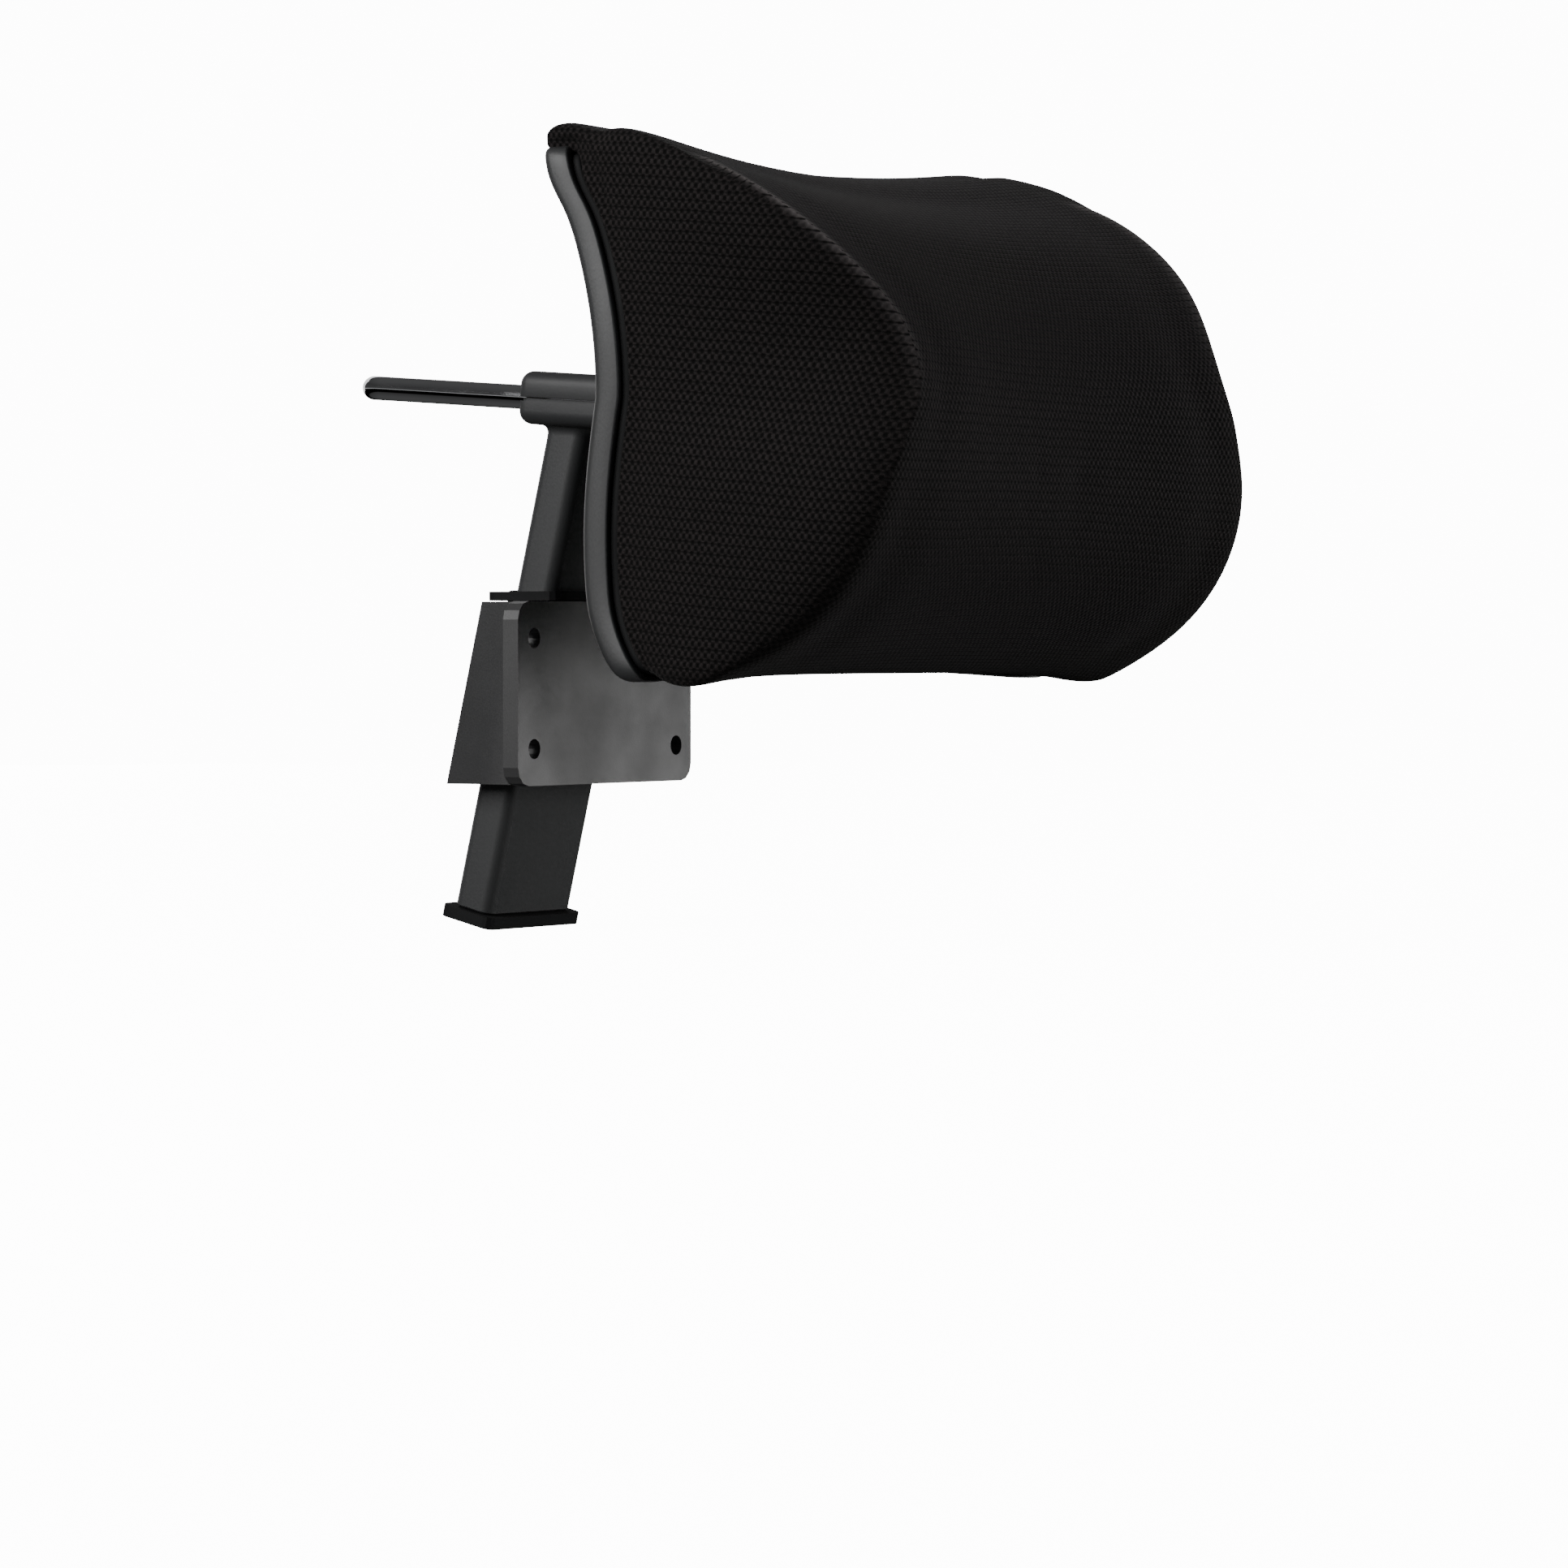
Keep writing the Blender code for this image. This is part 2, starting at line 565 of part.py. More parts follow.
def make_bushes():
    for side, sign in SIDES.items():
        for end, y in bush_places().items():
            ring(f"rail_bush_{side}_{end}", BUSH_BORE, BUSH_RADIUS, BUSH_LENGTH, RAIL, "bearing_plastic",
                 (sign * RAIL_X, y, 0), (pi / 2, 0, 0))


def make_rail_brake():
    underside, crown, _ = shoe_levels()
    size = (2 * (RAIL_X + RAIL_SHOE_OVERHANG), RAIL_SHOE_WIDTH, RAIL_SHOE_HEIGHT)
    shoe = block("rail_brake_shoe", size, RAIL, "bearing_plastic", (0, 0, underside + RAIL_SHOE_HEIGHT / 2))
    for side, sign in SIDES.items():
        cut(shoe, rod(f"shoe_groove_{side}", RAIL_RADIUS + SLIDE_GAP, 2 * RAIL_SHOE_WIDTH, RAIL,
                      at=(sign * RAIL_X, 0, 0), axis=1))
    bm = bmesh.new()
    bmesh.ops.create_cube(bm, size=1.0)
    bmesh.ops.scale(bm, vec=(2 * LEAF_HALF_LENGTH, LEAF_WIDTH, LEAF_THICKNESS), verts=bm.verts)
    slice_along(bm, 0, [LEAF_HALF_LENGTH * i / 4 for i in range(-3, 4)])
    for vert in bm.verts:
        vert.co.z += crown - LEAF_RISE * (vert.co.x / LEAF_HALF_LENGTH) ** 2
    add_object("rail_brake_spring", mesh_from(bm, "rail_brake_spring"), RAIL, "spring_steel")


def slice_along(bm, axis, places):
    """Cut every face with planes square to an axis."""
    normal = Vector((0, 0, 0))
    normal[axis] = 1
    for place in places:
        geometry = bm.verts[:] + bm.edges[:] + bm.faces[:]
        bmesh.ops.bisect_plane(bm, geom=geometry, plane_co=normal * place, plane_no=normal)


# Rail and tilt hinge

def rail_route():
    """Centre line of the U: down one leg, round two bends and back up the other."""
    bend_y = RAIL_REAR - RAIL_BEND_RADIUS
    bend_x = RAIL_X - RAIL_BEND_RADIUS
    route = [(-RAIL_X, -RAIL_END, 0)]
    for turn_x, start in ((-bend_x, pi), (bend_x, pi / 2)):
        for i in range(RAIL_BEND_STEPS + 1):
            angle = start - i * pi / 2 / RAIL_BEND_STEPS
            route.append((turn_x + RAIL_BEND_RADIUS * cos(angle), bend_y + RAIL_BEND_RADIUS * sin(angle), 0))
    route.append((RAIL_X, -RAIL_END, 0))
    return route


def make_rail():
    curve = bpy.data.curves.new("rail_path", "CURVE")
    curve.dimensions = "3D"
    curve.bevel_depth = RAIL_RADIUS
    curve.bevel_resolution = 6
    curve.use_fill_caps = True
    route = rail_route()
    spline = curve.splines.new("POLY")
    spline.points.add(len(route) - 1)
    for point, place in zip(spline.points, route):
        point.co = (*place, 1)
    path = add_object("rail_path", curve, RAIL, "chrome")
    bpy.context.view_layer.update()
    mesh = bpy.data.meshes.new_from_object(path.evaluated_get(bpy.context.evaluated_depsgraph_get()))
    bm = bmesh.new()
    bm.from_mesh(mesh)
    bmesh.ops.remove_doubles(bm, verts=bm.verts, dist=0.00001)
    bm.to_mesh(mesh)
    bm.free()
    rail = bpy.data.objects.new("rail_loop", mesh)
    rail.matrix_world = path.matrix_world.copy()
    PARTS.objects.link(rail)
    bpy.data.objects.remove(path)
    shade_smooth(rail)
    for side, sign in SIDES.items():
        cut(rail, pin_hole("rail", side, sign))


def pin_hole(name, side, sign):
    at = (sign * RAIL_X, -(CARRIER_REAR + RAIL_GRIP / 2), 0)
    return rod(f"{name}_pin_hole_{side}", PIN_RADIUS + GAP, 4 * CARRIER_HALF_HEIGHT, RAIL, at=at)


def make_carrier():
    body_length = HINGE_REACH - CARRIER_REAR
    carrier = block("pivot_carrier", (2 * CARRIER_HALF_WIDTH, body_length, 2 * CARRIER_HALF_HEIGHT), RAIL,
                    "housing_plastic", (0, -CARRIER_REAR - body_length / 2, 0), edge=CARRIER_EDGE, along=0)
    axle_at = (0, -HINGE_REACH, 0)
    knuckle = rod("carrier_knuckle", KNUCKLE_RADIUS, 2 * CARRIER_HALF_WIDTH, RAIL, at=axle_at, axis=0)
    bore = rod("axle_bore", AXLE_RADIUS + SLIDE_GAP, 3 * CARRIER_HALF_WIDTH, RAIL, at=axle_at, axis=0)
    cut(unite(carrier, knuckle), bore)
    for side, sign in SIDES.items():
        x = sign * RAIL_X
        depth = RAIL_GRIP + GAP
        socket = rod(f"rail_socket_{side}", RAIL_RADIUS + GAP, 2 * depth, RAIL,
                     at=(x, -CARRIER_REAR, 0), axis=1)
        cut(carrier, socket, pin_hole("carrier", side, sign))
        rod(f"rail_pin_{side}", PIN_RADIUS, 2 * (CARRIER_HALF_HEIGHT - GAP), RAIL, "zinc_steel",
            (x, -(CARRIER_REAR + RAIL_GRIP / 2), 0), segments=20)


def make_axle():
    """Axle with a domed head at one end, a lock nut and a spring washer at the other."""
    head_x = EAR_OUTER + GAP
    nut_x = EAR_OUTER + WASHER_THICKNESS + 2 * GAP
    end_x = nut_x + NUT_THICKNESS + 2 * GAP
    profile = [(0, AXLE_HEAD), (AXLE_HEAD_RADIUS * AXLE_HEAD_FLAT, AXLE_HEAD), (AXLE_HEAD_RADIUS, AXLE_HEAD / 2),
               (AXLE_HEAD_RADIUS, 0), (AXLE_RADIUS, 0), (AXLE_RADIUS, -head_x - end_x), (0, -head_x - end_x)]
    turned("tilt_axle", profile, HINGE, "zinc_steel", (-head_x, 0, 0), (0, -pi / 2, 0))
    across = (0, pi / 2, 0)
    ring("spring_washer", AXLE_RADIUS + GAP, WASHER_RADIUS, WASHER_THICKNESS, HINGE, "spring_steel",
         (EAR_OUTER + GAP + WASHER_THICKNESS / 2, 0, 0), across)
    nut = rod("axle_nut", NUT_RADIUS, NUT_THICKNESS, HINGE, "zinc_steel", (nut_x + NUT_THICKNESS / 2, 0, 0),
              axis=0, segments=6)
    cut(nut, rod("nut_bore", AXLE_RADIUS + GAP, 2 * NUT_THICKNESS, HINGE, at=(nut_x, 0, 0), axis=0))
    for side, sign in SIDES.items():
        x = sign * (CARRIER_HALF_WIDTH + GAP + WASHER_THICKNESS / 2)
        ring(f"friction_washer_{side}", AXLE_RADIUS + GAP, WASHER_RADIUS, WASHER_THICKNESS, HINGE,
             "bearing_plastic", (x, 0, 0), across)


def make_hinge_base():
    base = block("hinge_base", (2 * EAR_OUTER, BASE_THICKNESS, BASE_HEIGHT), HINGE, "zinc_steel",
                 (0, (BASE_FRONT + BASE_REAR) / 2, 0), edge=BASE_CORNER, along=1)
    for side, sign in SIDES.items():
        x = sign * (EAR_INNER + EAR_OUTER) / 2
        web = block(f"ear_web_{side}", (EAR_THICKNESS, -BASE_FRONT, 2 * EAR_RADIUS), HINGE,
                    at=(x, BASE_FRONT / 2, 0))
        ear = rod(f"ear_{side}", EAR_RADIUS, EAR_THICKNESS, HINGE, at=(x, 0, 0), axis=0)
        unite(base, web, ear)
    cut(base, rod("ear_bore", AXLE_RADIUS + SLIDE_GAP, 3 * EAR_OUTER, HINGE, axis=0))
    for i, (x, z) in enumerate(hinge_screw_places(), 1):
        cut(base, hinge_screw_hole(f"base_hole_{i}", x, z))
        length = BASE_REAR + GAP - shell_rear(x, z) + PLATE_FRONT - 2 * GAP
        pan_screw(f"hinge_screw_{i}", length, HINGE, (x, BASE_REAR + GAP, z), (-pi / 2, 0, 0))


def hinge_screw_places():
    return [(x, z) for z in (-HINGE_SCREW_Z, HINGE_SCREW_Z) for x in (-HINGE_SCREW_X, HINGE_SCREW_X)]


def hinge_screw_hole(name, x, z):
    return rod(name, SCREW_RADIUS + GAP, 4 * SHELL_RIM + 2 * SHELL_STANDOFF, HINGE, at=(x, -SHELL_STANDOFF, z),
               axis=1)


# Curved surfaces shared by shell, plate, foam and cover, in the hinge frame

def side_curve(height):
    """How far the shell's side profile lies behind its waist."""
    if height >= 0:
        return SHELL_FLARE * (height / SHELL_TOP) ** 2
    drop = -height / SHELL_BOTTOM
    curl = max(0.0, (drop - TUCK_START) / (1 - TUCK_START))
    return SHELL_BELLY * sin(pi * drop) - SHELL_TUCK * curl ** 2


def shell_rear(x, height):
    """Y of the shell's rear face."""
    return side_curve(height) - SHELL_STANDOFF - SHELL_BOW * (x / SHELL_HALF_WIDTH) ** 2


def outline_point(across, up, inset):
    """Front-view position for two numbers from -1 to 1, drawn in by an inset."""
    middle = 1 - across ** 2
    top = SHELL_TOP - TOP_DIP * middle - inset
    bottom = -SHELL_BOTTOM + BOTTOM_ARCH * middle + inset
    return across * (SHELL_HALF_WIDTH - inset), bottom + (top - bottom) * (up + 1) / 2


def corner_pull(first, second, power):
    """Factor that rounds a square's corners."""
    largest = max(abs(first), abs(second))
    if largest == 0:
        return 1.0
    return largest / (abs(first) ** power + abs(second) ** power) ** (1 / power)


def gridded_block(depth_cuts):
    """Box from -1 to 1 across (x) and up (z) and 0 to -1 in depth (y), its faces divided into a grid."""
    bm = bmesh.new()
    bmesh.ops.create_cube(bm, size=2.0)
    for vert in bm.verts:
        vert.co.y = (vert.co.y - 1) / 2
    slice_along(bm, 0, CUTS)
    slice_along(bm, 2, CUTS)
    slice_along(bm, 1, [-cut_depth for cut_depth in depth_cuts])
    return bm


def make_sheet(name, material, inset, rear_depth, front_depth):
    """Curved sheet that follows the shell's rear face; its two depths are functions of (across, up)."""
    bm = gridded_block([])
    for vert in bm.verts:
        across, forward, up = vert.co
        pull = corner_pull(across, up, CORNER_POWER)
        x, height = outline_point(across * pull, up * pull, inset)
        offset = front_depth(across, up) if forward < -0.5 else rear_depth(across, up)
        vert.co = (x, shell_rear(x, height) - offset, height)
    return shade_smooth(add_object(name, mesh_from(bm, name), HINGE, material))


def make_shell():
    def thickness(across, up):
        return SHELL_RIM if max(abs(across), abs(up)) > RIM_START else SHELL_SKIN

    shell = make_sheet("back_shell", "shell_plastic", 0, lambda a, b: 0, thickness)
    seat_depth = SHELL_PAD + SHELL_SKIN / 2
    seat = block("hinge_seat", (2 * (EAR_OUTER + SEAT_MARGIN), seat_depth, BASE_HEIGHT + 2 * SEAT_MARGIN), HINGE,
                 at=(0, SEAT_Y - seat_depth / 2, 0), edge=BASE_CORNER + SEAT_MARGIN, along=1)
    unite(shell, seat)
    for i, (x, z) in enumerate(hinge_screw_places(), 1):
        cut(shell, hinge_screw_hole(f"shell_hole_{i}", x, z))


def make_inner_plate():
    plate = make_sheet("inner_plate", "inner_plastic", PLATE_INSET,
                       lambda a, b: PLATE_REAR, lambda a, b: PLATE_FRONT)
    for i, (x, z) in enumerate(hinge_screw_places(), 1):
        rear = shell_rear(x, z) - SHELL_SKIN - BOSS_GAP
        front = shell_rear(x, z) - PLATE_REAR - PLATE_THICKNESS / 2
        boss = rod(f"plate_boss_{i}", BOSS_RADIUS, rear - front, HINGE, at=(x, (rear + front) / 2, z), axis=1)
        cut(unite(plate, boss), hinge_screw_hole(f"plate_hole_{i}", x, z))


def ridge_half_width(height):
    """Half width between the cushion's two front ridges, pinched in above the middle."""
    closeness = (height - PINCH_HEIGHT) / PINCH_REACH
    return RIDGE_HALF_WIDTH - RIDGE_PINCH * exp(-(closeness ** 2))


def nose_point(across, up):
    """Front of the cushion: a rounded nose in side view, hollowed across the middle."""
    angle = up * NOSE_SWEEP
    power, reach = (NOSE_UP_POWER, NOSE_UP) if up > 0 else (NOSE_DOWN_POWER, NOSE_DOWN)
    rise = abs(sin(angle)) ** (2 / power)
    taper = 1 if up > 0 else 1 - NOSE_TAPER * rise
    depth = NOSE_DEPTH * cos(angle) ** (2 / power) * taper
    middle = 1 - across ** 2
    height = -NOSE_DROP + reach * (rise if up > 0 else -rise)
    height -= TOP_DIP * middle * max(0.0, up) ** 2
    x = across * ridge_half_width(height)
    return Vector((x, -NOSE_BASE - depth + CRADLE_DEPTH * middle * cos(angle), height))


def cushion_mesh(name, foam_inset):
    """Cushion from the inner plate's front to its nose: open at the back, or closed and smaller for the foam."""
    bm = gridded_block(DEPTH_CUTS)
    back = {face for face in bm.faces if all(vert.co.y > -0.001 for vert in face.verts)}
    for vert in bm.verts:
        across, forward, up = vert.co
        side = max(abs(across), abs(up))
        edge_pull = corner_pull(side, forward, NOSE_EDGE_POWER)
        pull = corner_pull(across, up, CORNER_POWER) * edge_pull
        across, depth, up = across * pull, abs(forward) * edge_pull, up * pull
        x, height = outline_point(across, up, PAD_INSET)
        rear = Vector((x, shell_rear(x, height) - PLATE_FRONT - PAD_GAP, height))
        place = rear.lerp(nose_point(across, up), depth)
        swell = 4 * depth * (1 - depth)                        # 1 half way along
        early_swell = 1.5 * sqrt(3 * depth) * (1 - depth)      # 1 a third of the way along
        place.x += CHEEK_SWELL * swell * across ** 3
        place.z += (TOP_SWELL * early_swell if up > 0 else BOTTOM_SWELL * swell) * up ** 3
        vert.co = place
    if foam_inset:
        draw_in(bm, back, foam_inset)
    else:
        bmesh.ops.delete(bm, geom=list(back), context="FACES")
    return mesh_from(bm, name)


def draw_in(bm, back, distance):
    """Move the covered faces inwards, square to themselves."""
    bm.normal_update()
    moves = {}
    for vert in bm.verts:
        normals = [face.normal for face in vert.link_faces if face not in back]
        if normals:
            mean = sum(normals, Vector()).normalized()
            slant = sum(mean.dot(normal) for normal in normals) / len(normals)
            moves[vert] = mean * distance / slant
    for vert, move in moves.items():
        vert.co -= move


def make_cushion():
    shade_smooth(add_object("foam_core", cushion_mesh("foam_core", FOAM_INSET), HINGE, "foam"))
    cover = add_object("fabric_cover", cushion_mesh("fabric_cover", 0), HINGE, "knit_fabric")
    shade_smooth(cover)
    solid = cover.modifiers.new("cloth", "SOLIDIFY")
    solid.thickness = COVER_THICKNESS
    solid.offset = -1
    solid.use_even_offset = True


make_bracket()
make_collar()
make_height_brake()
make_post()
make_clamp_cover()
make_end_stop()
make_bushes()
make_rail_brake()
make_rail()
make_carrier()
make_axle()
make_hinge_base()
make_shell()
make_inner_plate()
make_cushion()
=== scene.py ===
import json
from math import cos, exp, pi, radians, sin, sqrt

import bmesh
import bpy
import numpy as np
from mathutils import Matrix, Vector


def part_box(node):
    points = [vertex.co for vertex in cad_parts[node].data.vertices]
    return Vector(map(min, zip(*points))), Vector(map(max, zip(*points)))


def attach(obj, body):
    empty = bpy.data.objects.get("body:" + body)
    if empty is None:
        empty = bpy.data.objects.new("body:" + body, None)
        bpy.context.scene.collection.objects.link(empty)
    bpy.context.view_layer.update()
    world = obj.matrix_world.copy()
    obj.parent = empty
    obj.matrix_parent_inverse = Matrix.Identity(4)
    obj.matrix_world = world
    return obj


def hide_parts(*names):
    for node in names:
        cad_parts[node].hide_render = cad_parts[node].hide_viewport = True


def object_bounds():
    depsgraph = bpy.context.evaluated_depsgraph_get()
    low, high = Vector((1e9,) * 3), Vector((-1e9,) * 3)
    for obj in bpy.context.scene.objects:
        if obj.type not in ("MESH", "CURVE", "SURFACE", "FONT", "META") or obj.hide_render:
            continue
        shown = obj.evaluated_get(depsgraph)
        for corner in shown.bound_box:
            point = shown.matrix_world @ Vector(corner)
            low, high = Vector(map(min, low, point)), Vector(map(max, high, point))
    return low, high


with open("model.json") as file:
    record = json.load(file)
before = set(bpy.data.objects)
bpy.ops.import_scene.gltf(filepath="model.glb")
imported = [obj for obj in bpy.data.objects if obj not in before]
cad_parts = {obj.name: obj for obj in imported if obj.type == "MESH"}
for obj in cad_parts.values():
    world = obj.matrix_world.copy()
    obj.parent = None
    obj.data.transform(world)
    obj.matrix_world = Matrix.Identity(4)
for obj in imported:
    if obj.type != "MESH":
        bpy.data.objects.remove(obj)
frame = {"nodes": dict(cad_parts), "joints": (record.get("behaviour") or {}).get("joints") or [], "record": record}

CAD_LOW, CAD_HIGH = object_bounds()
JOINTS = {joint["name"]: joint for joint in frame["joints"]}
NODES = frame["nodes"]

# Places, all taken from the frame
AXIS = Vector(JOINTS["tilt"]["pos_m"])
RAIL_FORWARD = Vector(JOINTS["depth_slide"]["axis"]).normalized()
STEM_UP = Vector(JOINTS["height_slide"]["axis"]).normalized()
ACROSS = Vector((1, 0, 0))
SHELL_LOW, SHELL_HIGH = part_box("back_shell")
RAIL_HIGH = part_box("rail_loop")[1]
COVER_LOW, COVER_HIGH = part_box("clamp_cover")


def frame_matrix(origin, rear):
    """Matrix whose Y points along rear and whose X stays across."""
    up = ACROSS.cross(rear)
    return Matrix(((ACROSS.x, rear.x, up.x, origin.x), (ACROSS.y, rear.y, up.y, origin.y),
                   (ACROSS.z, rear.z, up.z, origin.z), (0, 0, 0, 1)))


# The rail's frame starts in the clamp, on the rail's centre line; the stem's starts in the bracket
RAIL_REACH = 0.0575
RAIL_MATRIX = frame_matrix(AXIS - RAIL_FORWARD * RAIL_REACH, -RAIL_FORWARD)
CLAMP_REACH = 0.0985
STEM_MATRIX = frame_matrix(RAIL_MATRIX.translation - STEM_UP * CLAMP_REACH, STEM_UP.cross(ACROSS))
HINGE_MATRIX = Matrix.Translation(AXIS)
HOLE_RADIUS = 0.0018  # of every screw and pin hole


# Mesh helpers

def add_mesh(name, mesh, material, matrix=Matrix.Identity(4)):
    mesh.transform(matrix)
    item = bpy.data.objects.new(name, mesh)
    bpy.context.scene.collection.objects.link(item)
    if material:
        mesh.materials.append(material)
    return item


def from_arrays(name, verts, faces, material, matrix=Matrix.Identity(4)):
    mesh = bpy.data.meshes.new(name)
    mesh.from_pydata([tuple(v) for v in verts], [], faces)
    mesh.update()
    return add_mesh(name, mesh, material, matrix)


def from_bmesh(name, bm, material, matrix=Matrix.Identity(4)):
    mesh = bpy.data.meshes.new(name)
    bm.to_mesh(mesh)
    bm.free()
    return add_mesh(name, mesh, material, matrix)


def smooth(item, angle=radians(40)):
    item.data.shade_smooth()
    item.data.set_sharp_from_angle(angle=angle)
    return item


def box_mesh(size, at, edge=0.0, along=None, segments=6):
    bm = bmesh.new()
    bmesh.ops.create_cube(bm, size=1.0)
    bmesh.ops.scale(bm, vec=size, verts=bm.verts)
    if edge:
        chosen = []
        for e in bm.edges:
            run = e.verts[1].co - e.verts[0].co
            if along is None or abs(run[along]) > 0.999 * run.length:
                chosen.append(e)
        bmesh.ops.bevel(bm, geom=chosen, offset=edge, segments=segments, profile=0.5, affect="EDGES")
    bmesh.ops.translate(bm, vec=at, verts=bm.verts)
    return bm


def rod_mesh(radius, length, at, axis, segments=48):
    bm = bmesh.new()
    bmesh.ops.create_cone(bm, cap_ends=True, segments=segments, radius1=radius, radius2=radius,
                          depth=length)
    turn = {0: Matrix.Rotation(pi / 2, 3, "Y"), 1: Matrix.Rotation(pi / 2, 3, "X"),
            2: Matrix.Identity(3)}[axis]
    bmesh.ops.transform(bm, matrix=turn.to_4x4(), verts=bm.verts)
    bmesh.ops.translate(bm, vec=at, verts=bm.verts)
    return bm


def carve(item, tools, operation="DIFFERENCE"):
    """Applies one boolean per tool mesh and removes the tools."""
    for tool in tools:
        modifier = item.modifiers.new(tool.name, "BOOLEAN")
        modifier.operation = operation
        modifier.solver = "EXACT"
        modifier.object = tool
    bake(item)
    for tool in tools:
        bpy.data.objects.remove(tool, do_unlink=True)
    return item


def bake(item):
    """Replaces an object's mesh with its evaluated one."""
    bpy.context.view_layer.update()
    evaluated = item.evaluated_get(bpy.context.evaluated_depsgraph_get())
    mesh = bpy.data.meshes.new_from_object(evaluated)
    item.modifiers.clear()
    item.data = mesh
    return item


def soften(item, width, segments=2, angle=radians(50)):
    """Small bevel on the sharp edges, then smooth shading."""
    modifier = item.modifiers.new("edges", "BEVEL")
    modifier.width = width
    modifier.segments = segments
    modifier.limit_method = "ANGLE"
    modifier.angle_limit = angle
    modifier.harden_normals = False
    bake(item)
    return smooth(item)


# Material helpers

class Shader:
    """Principled material with short names for the nodes it is built from."""

    def __init__(self, name, colour, roughness, metallic=0.0):
        self.material = bpy.data.materials.new(name)
        self.material.use_nodes = True
        self.tree = self.material.node_tree
        self.bsdf = self.tree.nodes["Principled BSDF"]
        self.bsdf.inputs["Base Color"].default_value = (*colour, 1)
        self.bsdf.inputs["Roughness"].default_value = roughness
        self.bsdf.inputs["Metallic"].default_value = metallic
        self.place = self.node("ShaderNodeTexCoord").outputs["Object"]

    def node(self, kind, **values):
        made = self.tree.nodes.new(kind)
        for key, value in values.items():
            setattr(made, key, value)
        return made

    def feed(self, socket, value):
        if isinstance(value, bpy.types.NodeSocket):
            self.tree.links.new(value, socket)
        else:
            socket.default_value = value

    def math(self, operation, first, second=0.0, clamp=False):
        made = self.node("ShaderNodeMath", operation=operation, use_clamp=clamp)
        self.feed(made.inputs[0], first)
        self.feed(made.inputs[1], second)
        return made.outputs[0]

    def span(self, value, low, high, to_low=0.0, to_high=1.0):
        made = self.node("ShaderNodeMapRange", interpolation_type="SMOOTHSTEP")
        for socket, item in zip(made.inputs, (value, low, high, to_low, to_high)):
            self.feed(socket, item)
        return made.outputs[0]

    def noise(self, scale, detail=2.0, where=None):
        made = self.node("ShaderNodeTexNoise")
        self.feed(made.inputs["Vector"], where or self.place)
        made.inputs["Scale"].default_value = scale
        made.inputs["Detail"].default_value = detail
        return made.outputs["Fac"]

    def cells(self, scale, feature="SMOOTH_F1"):
        made = self.node("ShaderNodeTexVoronoi", feature=feature)
        self.feed(made.inputs["Vector"], self.place)
        made.inputs["Scale"].default_value = scale
        return made.outputs["Distance"]

    def mix(self, factor, first, second):
        made = self.node("ShaderNodeMix", data_type="RGBA")
        self.feed(made.inputs[0], factor)
        self.feed(made.inputs[6], first)
        self.feed(made.inputs[7], second)
        return made.outputs[2]

    def bump(self, height, strength, distance):
        made = self.node("ShaderNodeBump")
        made.inputs["Strength"].default_value = strength
        made.inputs["Distance"].default_value = distance
        self.feed(made.inputs["Height"], height)
        self.feed(self.bsdf.inputs["Normal"], made.outputs["Normal"])

    def set(self, socket, value):
        self.feed(self.bsdf.inputs[socket], value)


def grained_plastic(name, colour, edge_wear_and_ridge_highlight, roughness, grain=1100, depth=0.00006):
    """Moulded plastic with a fine leather grain, uneven gloss and slightly rubbed edges."""
    s = Shader(name, colour, roughness)
    warp = s.math("MULTIPLY", s.noise(grain * 0.6, 3.0), 0.55)
    height = s.math("ADD", s.cells(grain), warp)
    s.bump(height, 0.32, depth)
    cloud = s.noise(35, 4.0)
    s.set("Roughness", s.span(cloud, 0.3, 0.7, roughness - 0.04, roughness + 0.05))
    edge = s.node("ShaderNodeNewGeometry").outputs["Pointiness"]
    rub = s.span(s.math("ADD", edge, s.math("MULTIPLY", s.noise(160, 4.0), 0.02)), 0.535, 0.60, 0.0, 0.5)
    s.set("Base Color", s.mix(rub, (*colour, 1), (*edge_wear_and_ridge_highlight, 1)))
    return s.material


def plated_metal(name, colour, roughness, streak=900):
    """Plated steel with faint drawing lines and spots of dulled plating."""
    s = Shader(name, colour, roughness, 1.0)
    cloud = s.noise(60, 5.0)
    s.set("Roughness", s.span(cloud, 0.35, 0.75, roughness, roughness * 1.9))
    s.bump(s.noise(streak, 2.0), 0.08, 0.00002)
    dulled = (*[c * 0.88 for c in colour], 1)
    s.set("Base Color", s.mix(s.span(s.noise(22, 3.0), 0.4, 0.8), (*colour, 1), dulled))
    return s.material


LOOP_WIDTH = 0.0024
ROW_HEIGHT = 0.0032
ROW_SLOPE = 0.09
LOOP_LEAN = 0.12
WRAP_RADIUS = 0.097  # the front's rows are laid round a cylinder of this radius
WRAP_BELOW = 0.0055
WRAP_AHEAD = 0.030
HOLE_COLOUR = (0.0014, 0.0012, 0.0012)
YARN_COLOUR = (0.0182, 0.0146, 0.0148)
# Painted highlight: the lighter colour laid along the upper ridges of the cushion.
CREST_HIGHLIGHT_COLOUR = (0.110, 0.100, 0.100)


